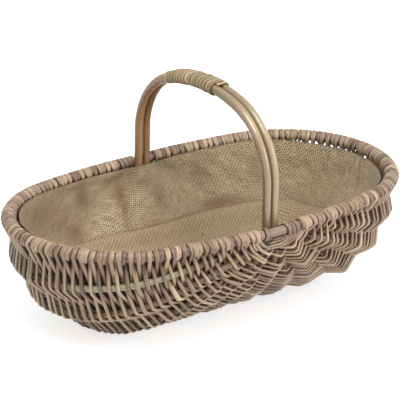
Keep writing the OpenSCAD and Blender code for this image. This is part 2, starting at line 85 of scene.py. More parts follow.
def ovalArcs(halfWidth):
    # A half oval is two side arcs and an end arc, all tangent: side radius, end radius, join angle
    full = mix(basket["rimFullness"], basket["bottomFullness"], np.sin(plainAngle))
    longEnd = full * halfWidth
    longSide = ((lineReach - longEnd) ** 2 + halfWidth ** 2 - longEnd ** 2) / (2 * (halfWidth - longEnd))
    shortSide = full * lineReach
    shortEnd = (lineReach ** 2 + (halfWidth - shortSide) ** 2 - shortSide ** 2) / (2 * (lineReach - shortSide))
    isLong = lineReach >= halfWidth
    side = np.where(isLong, longSide, shortSide)
    end = np.where(isLong, longEnd, shortEnd)
    join = np.where(isLong, np.arctan2(longSide - halfWidth, lineReach - longEnd),
                    np.arctan2(halfWidth - shortSide, shortEnd - lineReach))
    return side, end, join


sideRadius, endRadius, joinAngle = ovalArcs(basket["rimHalfWidth"])
sideLength = sideRadius * (pi / 2 - joinAngle)
wholeLength = 2 * sideLength + 2 * endRadius * joinAngle


def lineAt(j, s):
    # Point and tangent of line j at distance s from the front foot, turned down by the line's angle
    j, s = np.broadcast_arrays(np.asarray(j), np.asarray(s, float))
    far = s > wholeLength[j] / 2
    t = np.where(far, wholeLength[j] - s, s)
    onSide = t < sideLength[j]
    a = np.where(onSide, -pi / 2 + t / sideRadius[j], -joinAngle[j] + (t - sideLength[j]) / endRadius[j])
    q = np.where(onSide, sideRadius[j] * np.cos(a), lineReach[j] - endRadius[j] + endRadius[j] * np.cos(a))
    y = np.where(onSide, sideRadius[j] - basket["rimHalfWidth"] + sideRadius[j] * np.sin(a), endRadius[j] * np.sin(a))
    sign = np.where(far, -1.0, 1.0)
    c, d = np.cos(lineAngle[j]), np.sin(lineAngle[j])
    point = np.stack([q * c, y * sign, basket["rimHeight"] - q * d], -1)
    tangent = np.stack([-np.sin(a) * sign * c, np.cos(a), np.sin(a) * sign * d], -1)
    return point, tangent


# Part two: rods as profiles carried along a path

def arcLength(points):
    return np.concatenate([[0.0], np.cumsum(np.linalg.norm(np.diff(points, axis=0), axis=1))])


def alongPath(points, step, *tracks):
    # Every point and every track is read off again at equal distances
    s = arcLength(points)
    count = max(int(s[-1] / step), 2)
    at = np.linspace(0, s[-1], count + 1)
    found = []
    for values in (points,) + tracks:
        columns = values.reshape(len(values), -1)
        read = np.stack([np.interp(at, s, column) for column in columns.T], -1)
        found.append(read.reshape((len(at),) + values.shape[1:]))
    return found


def relaxed(values, spread):
    # A Gaussian mean along the path, spread in steps, with the ends held by mirrored values
    reach = int(4 * spread) + 1
    weights = np.exp(-0.5 * (np.arange(-reach, reach + 1) / spread) ** 2)
    weights /= weights.sum()
    padded = np.concatenate([2 * values[:1] - values[reach:0:-1], values, 2 * values[-1:] - values[-2:-reach - 2:-1]])
    return np.stack([np.convolve(padded[:, i], weights, "valid") for i in range(values.shape[1])], -1)


def wander(count, step, wavelength, rng, channels=1):
    # Smooth random numbers of spread 1 along a path: knots at each wavelength, eased between them
    knots = int(count * step / wavelength) + 4
    raw = rng.standard_normal((knots, channels))
    x = np.arange(count) * step / wavelength
    i = x.astype(int)
    f = smoothStep(x - i)[:, None]
    return raw[i] * (1 - f) + raw[i + 1] * f


def keptFacing(ways):
    # Each way is turned round where it would point against the one before it
    flips = np.where(np.sum(ways[1:] * ways[:-1], -1) < 0, -1.0, 1.0)
    return ways * np.cumprod(np.append(1.0, flips))[:, None]


def sectionRings(count, sides, boxy):
    # Points round each section, cos and sin raised to the power boxy: 1 is an ellipse, less is squarer
    a = 2 * pi * np.arange(sides) / sides
    c, s = np.cos(a), np.sin(a)
    power = np.broadcast_to(boxy, (count,))[:, None]
    return np.sign(c) * np.abs(c) ** power, np.sign(s) * np.abs(s) ** power


def meshFrom(name, points, faces, tracks, material, flat=False):
    mesh = bpy.data.meshes.new(name)
    mesh.from_pydata((points * mm).tolist(), [], faces)
    for key, values in tracks.items():
        kind = "FLOAT_VECTOR" if values.ndim == 2 else "FLOAT"
        attribute = mesh.attributes.new(key, kind, "POINT")
        attribute.data.foreach_set("vector" if values.ndim == 2 else "value", values.astype(np.float32).ravel())
    mesh.polygons.foreach_set("use_smooth", np.full(len(mesh.polygons), not flat))
    mesh.materials.append(material)
    mesh.update()
    piece = bpy.data.objects.new(name, mesh)
    bpy.context.scene.collection.objects.link(piece)
    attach(piece, "root")
    return piece


def rodMesh(name, centres, outward, thick, wide, material, tone, grainStart=0.0, sides=10, boxy=1.0,
            closed=False, sideShading=1.0):
    # A section with half sizes thick (outward) and wide, carried along the centres.
    # The track grain holds the straightened rod: two places across it and the distance along it
    heading = unit(np.gradient(centres, axis=0))
    if closed:
        heading = unit(np.roll(centres, -1, 0) - np.roll(centres, 1, 0))
    out = unit(outward - heading * np.sum(outward * heading, -1, keepdims=True))
    lateral = np.cross(heading, out)
    count = len(centres)
    c, s = sectionRings(count, sides, boxy)
    across = (thick[:, None] * c)[..., None]
    along = (wide[:, None] * s)[..., None]
    points = centres[:, None] + out[:, None] * across + lateral[:, None] * along
    distance = arcLength(centres) + grainStart
    grain = np.concatenate([across, along, np.broadcast_to(distance[:, None, None], across.shape)], -1)
    i = np.arange(count if closed else count - 1)[:, None]
    m = np.arange(sides)[None]
    n = (i + 1) % count
    quads = np.stack([i * sides + m, i * sides + (m + 1) % sides, n * sides + (m + 1) % sides, n * sides + m], -1)
    faces = quads.reshape(-1, 4).tolist()
    if not closed:
        faces.append(list(range(sides - 1, -1, -1)))
        faces.append([(count - 1) * sides + k for k in range(sides)])
    tones = np.repeat(np.broadcast_to(tone, (count,)), sides)
    # The edge track, the sideways share of the section times the side shading argument, places the painted shade on the
    # rod's sides
    edges = np.abs(s) * np.broadcast_to(sideShading, (count,))[:, None]
    tracks = {"grain": grain.reshape(-1, 3), "tone": tones, "edge": edges.ravel()}
    return meshFrom(name, points.reshape(-1, 3), faces, tracks, material)


def tapered(count, step, length, least):
    # 1 along a rod, easing to least over the given length at both ends
    s = np.minimum(np.arange(count), np.arange(count)[::-1]) * step
    return mix(least, 1.0, np.sqrt(np.clip(s / length, 0, 1)))


# Part three: materials

def linear(hexColour):
    # An sRGB hex value turned to linear red, green, blue and alpha
    parts = [int(hexColour[i:i + 2], 16) / 255 for i in (0, 2, 4)]
    return [p / 12.92 if p <= 0.04045 else ((p + 0.055) / 1.055) ** 2.4 for p in parts] + [1.0]


def addNode(tree, kind, settings=None, inputs=None):
    # Adds a node, sets what it is and either links or sets each of its sockets
    node = tree.nodes.new(kind)
    for key, value in (settings or {}).items():
        setattr(node, key, value)
    for key, value in (inputs or {}).items():
        if isinstance(value, bpy.types.NodeSocket):
            tree.links.new(value, node.inputs[key])
        else:
            node.inputs[key].default_value = value
    return node


def newMaterial(name):
    material = bpy.data.materials.new(name)
    material.use_nodes = True
    tree = material.node_tree
    tree.nodes.clear()
    shader = addNode(tree, "ShaderNodeBsdfPrincipled")
    output = addNode(tree, "ShaderNodeOutputMaterial", inputs={"Surface": shader.outputs[0]})
    return material, tree, shader, output


def colourRamp(tree, factor, stops):
    node = addNode(tree, "ShaderNodeValToRGB", inputs={"Fac": factor})
    for i, (place, colour) in enumerate(stops):
        element = node.color_ramp.elements[i] if i < 2 else node.color_ramp.elements.new(place)
        element.position = place
        element.color = linear(colour)
    return node.outputs["Color"]


def rodMaterial(name, look):
    # Wood fibre along a rod: stick to stick tone, long streaks, slow stains and bud scars, with painted shade on the
    # rod's sides
    material, tree, shader, output = newMaterial(name)
    grain = addNode(tree, "ShaderNodeAttribute", {"attribute_name": "grain"}).outputs["Vector"]
    tone = addNode(tree, "ShaderNodeAttribute", {"attribute_name": "tone"}).outputs["Fac"]
    fibre = addNode(tree, "ShaderNodeMapping", inputs={"Vector": grain, "Scale": (1 / look["fibreWidth"],) * 2 + (1 / look["fibreLength"],)})
    streak = addNode(tree, "ShaderNodeTexNoise", inputs={"Vector": fibre.outputs[0], "Scale": 1.0, "Detail": 3.0, "Roughness": 0.6})
    patch = addNode(tree, "ShaderNodeMapping", inputs={"Vector": grain, "Scale": (1 / look["stainWidth"],) * 2 + (1 / look["stainLength"],)})
    stain = addNode(tree, "ShaderNodeTexNoise", inputs={"Vector": patch.outputs[0], "Scale": 1.0, "Detail": 2.0, "Roughness": 0.55})
    spread = addNode(tree, "ShaderNodeMath", {"operation": "MULTIPLY_ADD"}, {0: streak.outputs["Fac"], 1: look["streakShare"], 2: tone})
    shifted = addNode(tree, "ShaderNodeMath", {"operation": "SUBTRACT"}, {0: spread.outputs[0], 1: look["streakShare"] / 2})
    skin = colourRamp(tree, shifted.outputs[0], look["skin"])
    stained = addNode(tree, "ShaderNodeMapRange", inputs={"Value": stain.outputs["Fac"], "From Min": 0.5, "From Max": 0.75, "To Max": look["stainShare"]})
    colour = addNode(tree, "ShaderNodeMix", {"data_type": "RGBA"}, {"Factor": stained.outputs[0], 6: skin, 7: linear(look["stain"])})
    place = addNode(tree, "ShaderNodeSeparateXYZ", inputs={"Vector": grain})
    bud = addNode(tree, "ShaderNodeMath", {"operation": "MULTIPLY"}, {0: place.outputs["Z"], 1: 1 / look["budSpacing"]})
    scar = addNode(tree, "ShaderNodeTexVoronoi", {"voronoi_dimensions": "1D"}, {"W": bud.outputs[0], "Scale": 1.0})
    ring = addNode(tree, "ShaderNodeMapRange", inputs={
        "Value": scar.outputs["Distance"], "From Min": look["budWidth"] / look["budSpacing"],
        "From Max": 0.0, "To Max": look["budShare"]})
    oneSide = addNode(tree, "ShaderNodeMapRange", inputs={
        "Value": stain.outputs["Fac"], "From Min": 0.48, "From Max": 0.6})
    near = addNode(tree, "ShaderNodeMath", {"operation": "MULTIPLY"}, {0: ring.outputs[0], 1: oneSide.outputs[0]})
    marked = addNode(tree, "ShaderNodeMix", {"data_type": "RGBA"}, {"Factor": near.outputs[0], 6: colour.outputs[2], 7: linear(look["bud"])})
    # Painted shade: where the edge track is high, on the rod's sides, the colour goes towards the edge colour, for the
    # shade between neighbouring rods
    edge = addNode(tree, "ShaderNodeAttribute", {"attribute_name": "edge"}).outputs["Fac"]
    sideShadeAmount = addNode(tree, "ShaderNodeMapRange", inputs={
        "Value": edge, "From Min": look["sideShadeFrom"], "From Max": 1.0, "To Max": look["sideShadeShare"]})
    sideShadedColour = addNode(tree, "ShaderNodeMix", {"data_type": "RGBA"}, {
        "Factor": sideShadeAmount.outputs[0], 6: marked.outputs[2], 7: linear(look["edge"])})
    gloss = addNode(tree, "ShaderNodeMapRange", inputs={
        "Value": streak.outputs["Fac"], "To Min": look["roughness"] - 0.1, "To Max": look["roughness"] + 0.12})
    relief = addNode(tree, "ShaderNodeMath", {"operation": "MULTIPLY_ADD"}, {0: near.outputs[0], 1: 0.8, 2: streak.outputs["Fac"]})
    bump = addNode(tree, "ShaderNodeBump", inputs={"Height": relief.outputs[0], "Strength": look["relief"], "Distance": 0.0006})
    tree.links.new(sideShadedColour.outputs[2], shader.inputs["Base Color"])
    tree.links.new(gloss.outputs[0], shader.inputs["Roughness"])
    tree.links.new(bump.outputs[0], shader.inputs["Normal"])
    shader.inputs["Specular IOR Level"].default_value = look["specular"]
    shader.inputs["IOR"].default_value = 1.5
    return material


# In each look, the edge colour is the painted shade laid on the rods' sides, where shade falls between neighbouring
# rods
# Steamed willow: rods boiled and dried in their skin, dull grey brown with pinkish and khaki ones
steamedWillow = rodMaterial("steamedWillow", {
    "skin": [(0.0, "544233"), (0.2, "735c4a"), (0.35, "90775f"), (0.47, "a58b71"), (0.58, "b1977c"),
             (0.7, "bda586"), (0.85, "cbb296"), (1.0, "d8c2a7")],
    "stain": "75624b", "stainShare": 0.45, "stainWidth": 6.0, "stainLength": 60.0,
    "streakShare": 1.3, "fibreWidth": 1.1, "fibreLength": 30.0,
    "bud": "4d3b2e", "budShare": 0.6, "budSpacing": 75.0, "budWidth": 1.3,
    "edge": "3d2d22", "sideShadeFrom": 0.68, "sideShadeShare": 0.65,
    "roughness": 0.42, "relief": 0.6, "specular": 0.55,
})

# Rib willow: thicker rods, brown as the rest or bleached to a pale greenish grey
ribWillow = rodMaterial("ribWillow", {
    "skin": [(0.0, "5f4c3d"), (0.3, "846d57"), (0.5, "9c866a"), (0.65, "a99f80"), (0.8, "bdb896"), (1.0, "d0ccb0")],
    "stain": "8d7c5e", "stainShare": 0.3, "stainWidth": 9.0, "stainLength": 60.0,
    "streakShare": 0.4, "fibreWidth": 1.0, "fibreLength": 50.0,
    "bud": "6b5b43", "budShare": 0.4, "budSpacing": 90.0, "budWidth": 1.5,
    "edge": "4a3a2c", "sideShadeFrom": 0.8, "sideShadeShare": 0.3,
    "roughness": 0.5, "relief": 0.4, "specular": 0.4,
})

# Hoop willow: a stout rod with its smooth purplish brown bark left on
barkedWillow = rodMaterial("barkedWillow", {
    "skin": [(0.0, "5f4a3c"), (0.4, "8a7462"), (0.7, "a48d79"), (1.0, "b9a58f")],
    "stain": "6f5846", "stainShare": 0.5, "stainWidth": 8.0, "stainLength": 25.0,
    "streakShare": 0.7, "fibreWidth": 1.2, "fibreLength": 30.0,
    "bud": "4a382c", "budShare": 0.4, "budSpacing": 70.0, "budWidth": 1.6,
    "edge": "4a3a2c", "sideShadeFrom": 0.8, "sideShadeShare": 0.3,
    "roughness": 0.4, "relief": 0.35, "specular": 0.5,
})

# Lashing willow: thin dark rods, split and bound wet, so they lie flat and shine a little
darkWillow = rodMaterial("darkWillow", {
    "skin": [(0.0, "4a3b30"), (0.35, "735f4e"), (0.6, "8f7a65"), (1.0, "ab967d")],
    "stain": "4b382d", "stainShare": 0.5, "stainWidth": 5.0, "stainLength": 30.0,
    "streakShare": 0.9, "fibreWidth": 0.9, "fibreLength": 35.0,
    "bud": "3d2e25", "budShare": 0.4, "budSpacing": 50.0, "budWidth": 1.2,
    "edge": "33251c", "sideShadeFrom": 0.7, "sideShadeShare": 0.6,
    "roughness": 0.42, "relief": 0.5, "specular": 0.5,
})

# Handle cane: peeled and polished rods, a warm brown at the back and a duller khaki in front
polishedCane = rodMaterial("polishedCane", {
    "skin": [(0.0, "775638"), (0.15, "a47e58"), (0.3, "c8a078"), (0.42, "c4a580"), (0.55, "8d7a5e"),
             (0.7, "968263"), (0.85, "ab9674"), (1.0, "c9b694")],
    "stain": "75603f", "stainShare": 0.3, "stainWidth": 14.0, "stainLength": 110.0,
    "streakShare": 0.3, "fibreWidth": 1.3, "fibreLength": 90.0,
    "bud": "5f4a33", "budShare": 0.35, "budSpacing": 120.0, "budWidth": 1.2,
    "edge": "54432e", "sideShadeFrom": 0.6, "sideShadeShare": 0.5,
    "roughness": 0.27, "relief": 0.25, "specular": 0.8,
})

# Cane skein: split, shaved strips with a dry straw coloured face
splitCane = rodMaterial("splitCane", {
    "skin": [(0.0, "6b583f"), (0.3, "8f7a57"), (0.55, "a9946c"), (0.75, "bda87f"), (1.0, "cdba94")],
    "stain": "7b644a", "stainShare": 0.5, "stainWidth": 4.0, "stainLength": 22.0,
    "streakShare": 0.8, "fibreWidth": 0.8, "fibreLength": 30.0,
    "bud": "6a5338", "budShare": 0.3, "budSpacing": 60.0, "budWidth": 1.2,
    "edge": "4b3a26", "sideShadeFrom": 0.65, "sideShadeShare": 0.75,
    "roughness": 0.42, "relief": 0.5, "specular": 0.45,
})

print("materials made")


# Part four: the weave

weave = {
    "passes": 58,
    "rods": 3,
    "stickThick": 4.4,
    "stickWidth": 5.4,
    "stickGap": 0.2,
    "leastWidth": 3.7,
    "leavingWidth": 6.0,
    "wrapThick": 3.6,
    "wrapGap": 0.3,
    "wrapSpread": 1.42,
    "firstPass": 32.0,
    "firstUnder": 24.0,
    "clearance": 0.6,
    "cornerRoom": 1.0,
    "hoop": 12.0,
    "rib": 8.5,
    "ribPoint": 3.0,
    "ribPointLength": 18.0,
    "step": 2.2,
    "bendSpread": 1.5,
    "jitterAlong": 0.6,
    "jitterOut": 0.3,
    "thicknessSpread": 0.1,
    "rodWander": 0.45,
    "tone": 0.52,
    "toneSpread": 0.12,
    # Share of the painted shade on the sides that the hoop's wraps keep
    "hoopSideShading": 0.92,
    "hoopDuller": 0.12,
}


def ribRadius(j, s):
    # From the whittled point to the full rod over the point's length
    share = np.clip((s - lineStart[j]) / weave["ribPointLength"], 0, 1)
    return mix(weave["ribPoint"], weave["rib"], share) / 2


def crossings():
    # Where pass k meets line j, which side it takes there and how far off the rib it stands
    j, k = np.meshgrid(lineNumbers, np.arange(weave["passes"]), indexing="ij")
    first = mix(weave["firstPass"], weave["firstUnder"], np.abs(np.sin(lineAngle)))
    pitch = (wholeLength / 2 - first) / weave["passes"]
    along = first[:, None] + (k + 0.5) * pitch[:, None]
    ribbed = (along > lineStart[:, None] - 3.7) & (j > 0) & (j < lastLine)
    side = np.where(ribbed, np.where((np.cumsum(ribbed, 0) + k) % 2 == 0, 1.0, -1.0), 0.0)
    point, tangent = lineAt(j, along)
    normal = np.zeros_like(point)
    normal[1:-1] = unit(np.cross(point[2:] - point[:-2], tangent[1:-1]))
    apart = np.linalg.norm(np.cross(np.diff(point, axis=0), tangent[:-1]), axis=-1)
    spacing = np.full(j.shape, 60.0)
    spacing[1:-1] = np.minimum(apart[1:], apart[:-1])
    m = ribRadius(j, along + weave["stickWidth"] / 2) + weave["stickThick"] / 2 + weave["clearance"]
    away = m / np.sqrt(1 - (2 * m / np.maximum(spacing, 2.5 * m)) ** 2)
    square = np.linalg.norm(np.cross(unit(np.diff(point, axis=0)), tangent[:-1]), axis=-1)
    room = np.full(j.shape, 6.0)
    room[1:-1] = pitch[1:-1, None] * np.minimum(square[1:], square[:-1])
    return {"pitch": pitch, "along": along, "ribs": np.cumsum(ribbed, 0), "side": side, "point": point,
            "tangent": tangent, "normal": normal, "away": away, "room": room}


met = crossings()


def passRings(k, rng):
    # Rings of pass k from right to left: centre, outward way, half thickness, half width
    inner = slice(1, lastLine)
    side = met["side"][inner, k]
    jitterOut = rng.normal(0, weave["jitterOut"], side.shape)
    jitterAlong = rng.normal(0, weave["jitterAlong"], side.shape)
    stand = side * (met["away"][inner, k] + weave["cornerRoom"] + np.abs(jitterOut))
    centre = met["point"][inner, k] + met["normal"][inner, k] * stand[:, None]
    centre = centre + met["tangent"][inner, k] * jitterAlong[:, None]
    wide = np.clip(met["room"][inner, k] - weave["stickGap"], weave["leastWidth"], weave["stickWidth"]) / 2
    thick = np.minimum(weave["stickThick"] / 2, wide * 1.15)
    return centre, met["normal"][inner, k], thick, wide


def wrapRings(j, k, atEnd, startsOutside):
    # Turns round the hoop with a ring each 15 degrees: 540 and 180 degrees by turns between passes,
    # so that the hoop is covered, and 270 at a rod's end
    turned = 1.5 * pi if atEnd else (3 * pi if k // 2 % 2 == 0 else pi)
    f = np.linspace(0, 1, int(math.degrees(turned) / 15) + 1)
    wound = 0.5 + (f - 0.5) * (1.95 if turned > 2 * pi else 0.4)
    onward = np.zeros_like(f) if atEnd else np.clip(wound, -0.1, 1.1)
    s = met["along"][j, k] + onward * met["pitch"][j]
    point, tangent = lineAt(j, s)
    level = unit(np.cross(tangent, [0.0, 0.0, 1.0]))
    level *= np.where(np.sum(level[:, :2] * point[:, :2], -1) > 0, 1, -1)[:, None]
    top = unit(np.array([0.0, 0.0, 1.0]) - tangent * tangent[:, 2:])
    a = turned * f if startsOutside else pi - turned * f
    way = level * np.cos(a)[:, None] + top * np.sin(a)[:, None]
    leaving = np.clip(1 - np.minimum(f, 1 - f) * turned / 0.35, 0, 1)
    if atEnd:
        leaving = np.clip(1 - f * turned / 0.5, 0, 1)
    radius = weave["hoop"] / 2 + weave["wrapThick"] / 2 + leaving * 1.2
    wide = np.full(f.shape, (met["pitch"][j] * weave["wrapSpread"] - weave["wrapGap"]) / 2)
    wide = mix(wide, weave["leavingWidth"] / 2, leaving) * (0.55 if atEnd else 1.0)
    thick = mix(weave["wrapThick"], weave["stickThick"], leaving) / 2
    return point + way * radius[:, None], way, thick, wide, f


def weaverRod(half, i, rng):
    # One rod: passes back and forth, a turn and a half round the hoop between them, one turn at the ends
    ends = np.rint(weave["passes"] * np.arange(weave["rods"] + 1) / weave["rods"]).astype(int)
    a, b = ends[i], ends[i + 1] - 1
    blocks = []
    c, w, t, h, f = wrapRings(0, a, True, (1 + a) % 2 != 0)
    blocks.append((c[::-1], w[::-1], t[::-1], h[::-1], np.zeros(len(c)), np.full(len(c), a, float)))
    for k in range(a, b + 1):
        leftwards = (k - a) % 2 == 0
        c, w, t, h = passRings(k, rng)
        order = slice(None) if leftwards else slice(None, None, -1)
        blocks.append((c[order], w[order], t[order], h[order], np.ones(len(c)), np.full(len(c), k, float)))
        j = lastLine if leftwards else 0
        lastOut = ((met["ribs"][lastLine, k] if leftwards else 1) + k) % 2 == 0
        c, w, t, h, f = wrapRings(j, k, k == b, not lastOut)
        blocks.append((c, w, t, h, np.zeros(len(c)), k + (f > 0.5) * (k < b)))
    centre, way, thick, wide, soft, stick = [np.concatenate(parts) for parts in zip(*blocks)]
    tracks = alongPath(centre, weave["step"], keptFacing(way), thick, wide, soft, stick)
    centre, way, thick, wide, soft, stick = tracks
    eased = relaxed(centre, weave["bendSpread"])
    share = smoothStep(relaxed(soft[:, None], 2.0))
    centre = mix(centre, eased, share)
    way = relaxed(way, 1.5)
    count = len(centre)
    centre = centre + share * wander(count, weave["step"], 45.0, rng, 3) * weave["rodWander"]
    number = np.rint(stick).astype(int)
    thickness = np.exp(rng.normal(0, weave["thicknessSpread"], weave["passes"] + 1))[number]
    swell = 1 + 0.04 * wander(count, weave["step"], 30.0, rng)[:, 0]
    onWall = share[:, 0]
    scale = mix(1.0, thickness * swell, onWall) * tapered(count, weave["step"], 6.0, 0.3)
    if half:
        centre = centre * [1, -1, 1]
        way = way * [1, -1, 1]
    return centre, way, thick * scale, wide * scale, number, mix(0.7, 0.95, onWall)


for half, side in enumerate(["front", "back"]):
    rng = np.random.default_rng(20 + half)
    tones = np.clip(rng.normal(weave["tone"], weave["toneSpread"], weave["passes"] + 1), 0.1, 0.9)
    for i in range(weave["rods"]):
        centre, way, thick, wide, number, boxy = weaverRod(half, i, rng)
        centre[:, 2] = np.maximum(centre[:, 2], thick)
        # The painted shade on the rods' sides is a little weaker on the hoop's wraps, for thinner dark lines between
        # them
        piece = rodMesh(f"willow_weavers_{side}_{i + 1}", centre, way, thick, wide,
                        steamedWillow, tones[number] - weave["hoopDuller"] * (0.95 - boxy) / 0.25, grainStart=1000.0 * (3 * half + i), boxy=boxy,
                        sideShading=mix(weave["hoopSideShading"], 1.0, (boxy - 0.7) / 0.25))
        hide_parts(f"weaver_{side}_{i + 1}")
print("weave made")


# Part five: the hoop and the ribs

ribs = {
    "bleached": ["rib_left_1"],
    "bleachedTone": 0.84,
    "bleachedFrom": 130.0,
    "bleachedTo": 330.0,
    "tone": 0.35,
    "toneSpread": 0.06,
}


def ribRod(j, name, rng):
    # A rod along line j with whittled points, a little uneven
    step = 3.0
    s = np.arange(lineStart[j], wholeLength[j] - lineStart[j], step)
    point, tangent = lineAt(j, s)
    square = np.array([math.sin(lineAngle[j]), 0.0, math.cos(lineAngle[j])])
    radius = np.minimum(ribRadius(j, s), ribRadius(j, wholeLength[j] - s))
    radius = radius * (1 + 0.03 * wander(len(s), step, 40.0, rng)[:, 0])
    point = point + square * wander(len(s), step, 70.0, rng) * 0.3
    tone = np.full(len(s), rng.normal(ribs["tone"], ribs["toneSpread"]))
    if name in ribs["bleached"]:
        bare = smoothStep((s - ribs["bleachedFrom"]) / 40) * smoothStep((ribs["bleachedTo"] - s) / 40)
        tone = mix(tone, ribs["bleachedTone"], bare)
    piece = rodMesh(f"willow_{name}", point, np.tile(square, (len(s), 1)), radius, radius,
                    ribWillow, tone, 700.0 * j, sides=16)
    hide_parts(name)


ribRandom = np.random.default_rng(5)
for j in range(1, lastLine):
    ribRod(j, basket["ribNames"][j - 1], ribRandom)

hoopStep = 3.0
rightHalf, _ = lineAt(0, np.arange(0, wholeLength[0], hoopStep))
leftHalf, _ = lineAt(lastLine, np.arange(wholeLength[lastLine], 0, -hoopStep))
hoopPath = np.concatenate([rightHalf, leftHalf])
hoopRadius = weave["hoop"] / 2 * (1 + 0.015 * wander(len(hoopPath), hoopStep, 60.0, ribRandom)[:, 0])
hoop = rodMesh("willow_rim_hoop", hoopPath, np.tile([0.0, 0.0, 1.0], (len(hoopPath), 1)), hoopRadius, hoopRadius,
               barkedWillow, 0.48, sides=20, closed=True)
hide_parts("rim_hoop")
print("frame made")


# Part six: the handle and its grip

handle = {
    "rise": 163.0,
    "halfSpan": 144.0,
    "rod": 13.0,
    "footShare": 0.86,
    "gap": 0.4,
    "shoulder": 101.0,
    "crown": 243.0,
    "tailRadius": 160.0,
    "tailLength": 45.0,
    "gripTurns": 16,
    "skeinWidth": 5.9,
    "skeinThick": 2.2,
    "gripFront": 31.0,
    "gripBack": 73.0,
    "clearance": 0.4,
}

crownJoin = math.asin((handle["halfSpan"] - handle["shoulder"]) / (handle["crown"] - handle["shoulder"]))
springHeight = handle["rise"] - handle["crown"] + (handle["crown"] - handle["shoulder"]) * math.cos(crownJoin)
rodOffset = (handle["rod"] + handle["gap"]) / 2


def handlePath(step):
    # Tail, leg, shoulder and crown as arcs and a line in the plane across the basket, then mirrored
    def arc(centre, radius, start, end):
        a = np.linspace(start, end, max(int(abs(end - start) * radius / step), 2))
        return np.stack([centre[0] + radius * np.cos(a), centre[1] + radius * np.sin(a)], -1)
    tail = arc((handle["halfSpan"] - handle["tailRadius"], 0), handle["tailRadius"], -handle["tailLength"] / handle["tailRadius"], 0)
    leg = np.array([[handle["halfSpan"], 0.0], [handle["halfSpan"], springHeight]])
    shoulder = arc((handle["halfSpan"] - handle["shoulder"], springHeight), handle["shoulder"], 0, pi / 2 - crownJoin)
    crown = arc((0, handle["rise"] - handle["crown"]), handle["crown"], pi / 2 - crownJoin, pi / 2)
    halfPath = np.concatenate([tail, leg, shoulder, crown])
    flat = np.concatenate([halfPath, (halfPath * [-1, 1])[::-1]])
    return alongPath(np.stack([0 * flat[:, 0], flat[:, 0], flat[:, 1] + basket["rimHeight"]], -1), step)[0]


canePlaces = [-144, -110, -60, -20, 60, 100]
caneTones = {"handle_rod_left": [0.66, 0.88, 0.66, 0.58, 0.19, 0.16],
             "handle_rod_right": [0.8, 0.9, 0.68, 0.56, 0.15, 0.13]}
caneRandom = np.random.default_rng(11)
for node, x in (("handle_rod_left", -rodOffset), ("handle_rod_right", rodOffset)):
    path = handlePath(2.5) + [x, 0, 0]
    radius = handle["rod"] / 2 * (1 + 0.012 * wander(len(path), 2.5, 50.0, caneRandom)[:, 0])
    slimmer = smoothStep((np.abs(path[:, 1]) - handle["gripBack"]) / (handle["halfSpan"] - handle["gripBack"]))
    radius = radius * mix(1.0, handle["footShare"], slimmer)
    tone = np.interp(path[:, 1], canePlaces, caneTones[node])
    away = np.cross(np.gradient(path, axis=0), [1.0, 0.0, 0.0])
    rod = rodMesh(f"cane_{node}", path, away, radius, radius,
                  polishedCane, tone, 3000.0 + 400 * x, sides=24)
    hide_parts(node)


def handleAt(y):
    # Height and upward way of the handle's centre line at a place across the basket
    join = handle["halfSpan"] - handle["shoulder"]
    a = np.arcsin(y / handle["crown"])
    s = np.arcsin(np.clip((np.abs(y) - join) / handle["shoulder"], 0, 1))
    over = (np.abs(a) > crownJoin)[:, None]
    g, zero = np.sign(y), 0 * y
    shoulder = np.stack([zero, g * (join + handle["shoulder"] * np.sin(s)), springHeight + handle["shoulder"] * np.cos(s)], -1)
    crown = np.stack([zero, y, handle["rise"] - handle["crown"] + handle["crown"] * np.cos(a)], -1)
    upward = np.where(over, np.stack([zero, g * np.sin(s), np.cos(s)], -1), np.stack([zero, np.sin(a), np.cos(a)], -1))
    return np.where(over, shoulder, crown) + [0, 0, basket["rimHeight"]], upward


def stadium(f, run, radius):
    # Place and outward way at share f of the outline round two rods: straight, half round, straight, half round
    total = 2 * run + 2 * pi * radius
    s = f * total
    bow = pi * radius
    a = np.where(s < run + bow, pi / 2 - (s - run) / radius, -pi / 2 - (s - 2 * run - bow) / radius)
    onTop, onRight, onBottom = s < run, (s >= run) & (s < run + bow), (s >= run + bow) & (s < 2 * run + bow)
    x = np.where(onTop, s - run / 2, np.where(onRight, run / 2 + radius * np.cos(a),
                 np.where(onBottom, run / 2 - (s - run - bow), -run / 2 + radius * np.cos(a))))
    z = np.where(onTop, radius, np.where(onBottom, -radius, radius * np.sin(a)))
    outX = np.where(onTop | onBottom, 0.0, np.cos(a))
    outZ = np.where(onTop, 1.0, np.where(onBottom, -1.0, np.sin(a)))
    return x, z, outX, outZ


turns = np.arange(0, handle["gripTurns"] * 48 + 1) / 48
gripPoint, gripUp = handleAt(mix(-handle["gripFront"], handle["gripBack"], turns / handle["gripTurns"]))
bindRadius = handle["rod"] / 2 + handle["clearance"] + handle["skeinThick"] / 2
x, z, outX, outZ = stadium(turns % 1.0, 2 * rodOffset, bindRadius)
sideways = np.array([1.0, 0.0, 0.0])
skeinPath = gripPoint + sideways * x[:, None] + gripUp * z[:, None]
skeinOut = sideways * outX[:, None] + gripUp * outZ[:, None]
gripRandom = np.random.default_rng(3)
turnTone = np.clip(gripRandom.normal(0.52, 0.12, handle["gripTurns"] + 2), 0.1, 0.95)
skeinTone = np.interp(turns, np.arange(handle["gripTurns"] + 2), turnTone)
lift = 0.25 * wander(len(turns), 1.5, 25.0, gripRandom)
skein = rodMesh("cane_grip_binding", skeinPath + skeinOut * lift, skeinOut, np.full(len(turns), handle["skeinThick"] / 2),
                handle["skeinWidth"] / 2 * (1 + 0.05 * wander(len(turns), 1.5, 40.0, gripRandom)[:, 0]),
                splitCane, skeinTone, sides=12, boxy=0.75)
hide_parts("grip_binding")
print("handle made")


# Part seven: the foot lashings

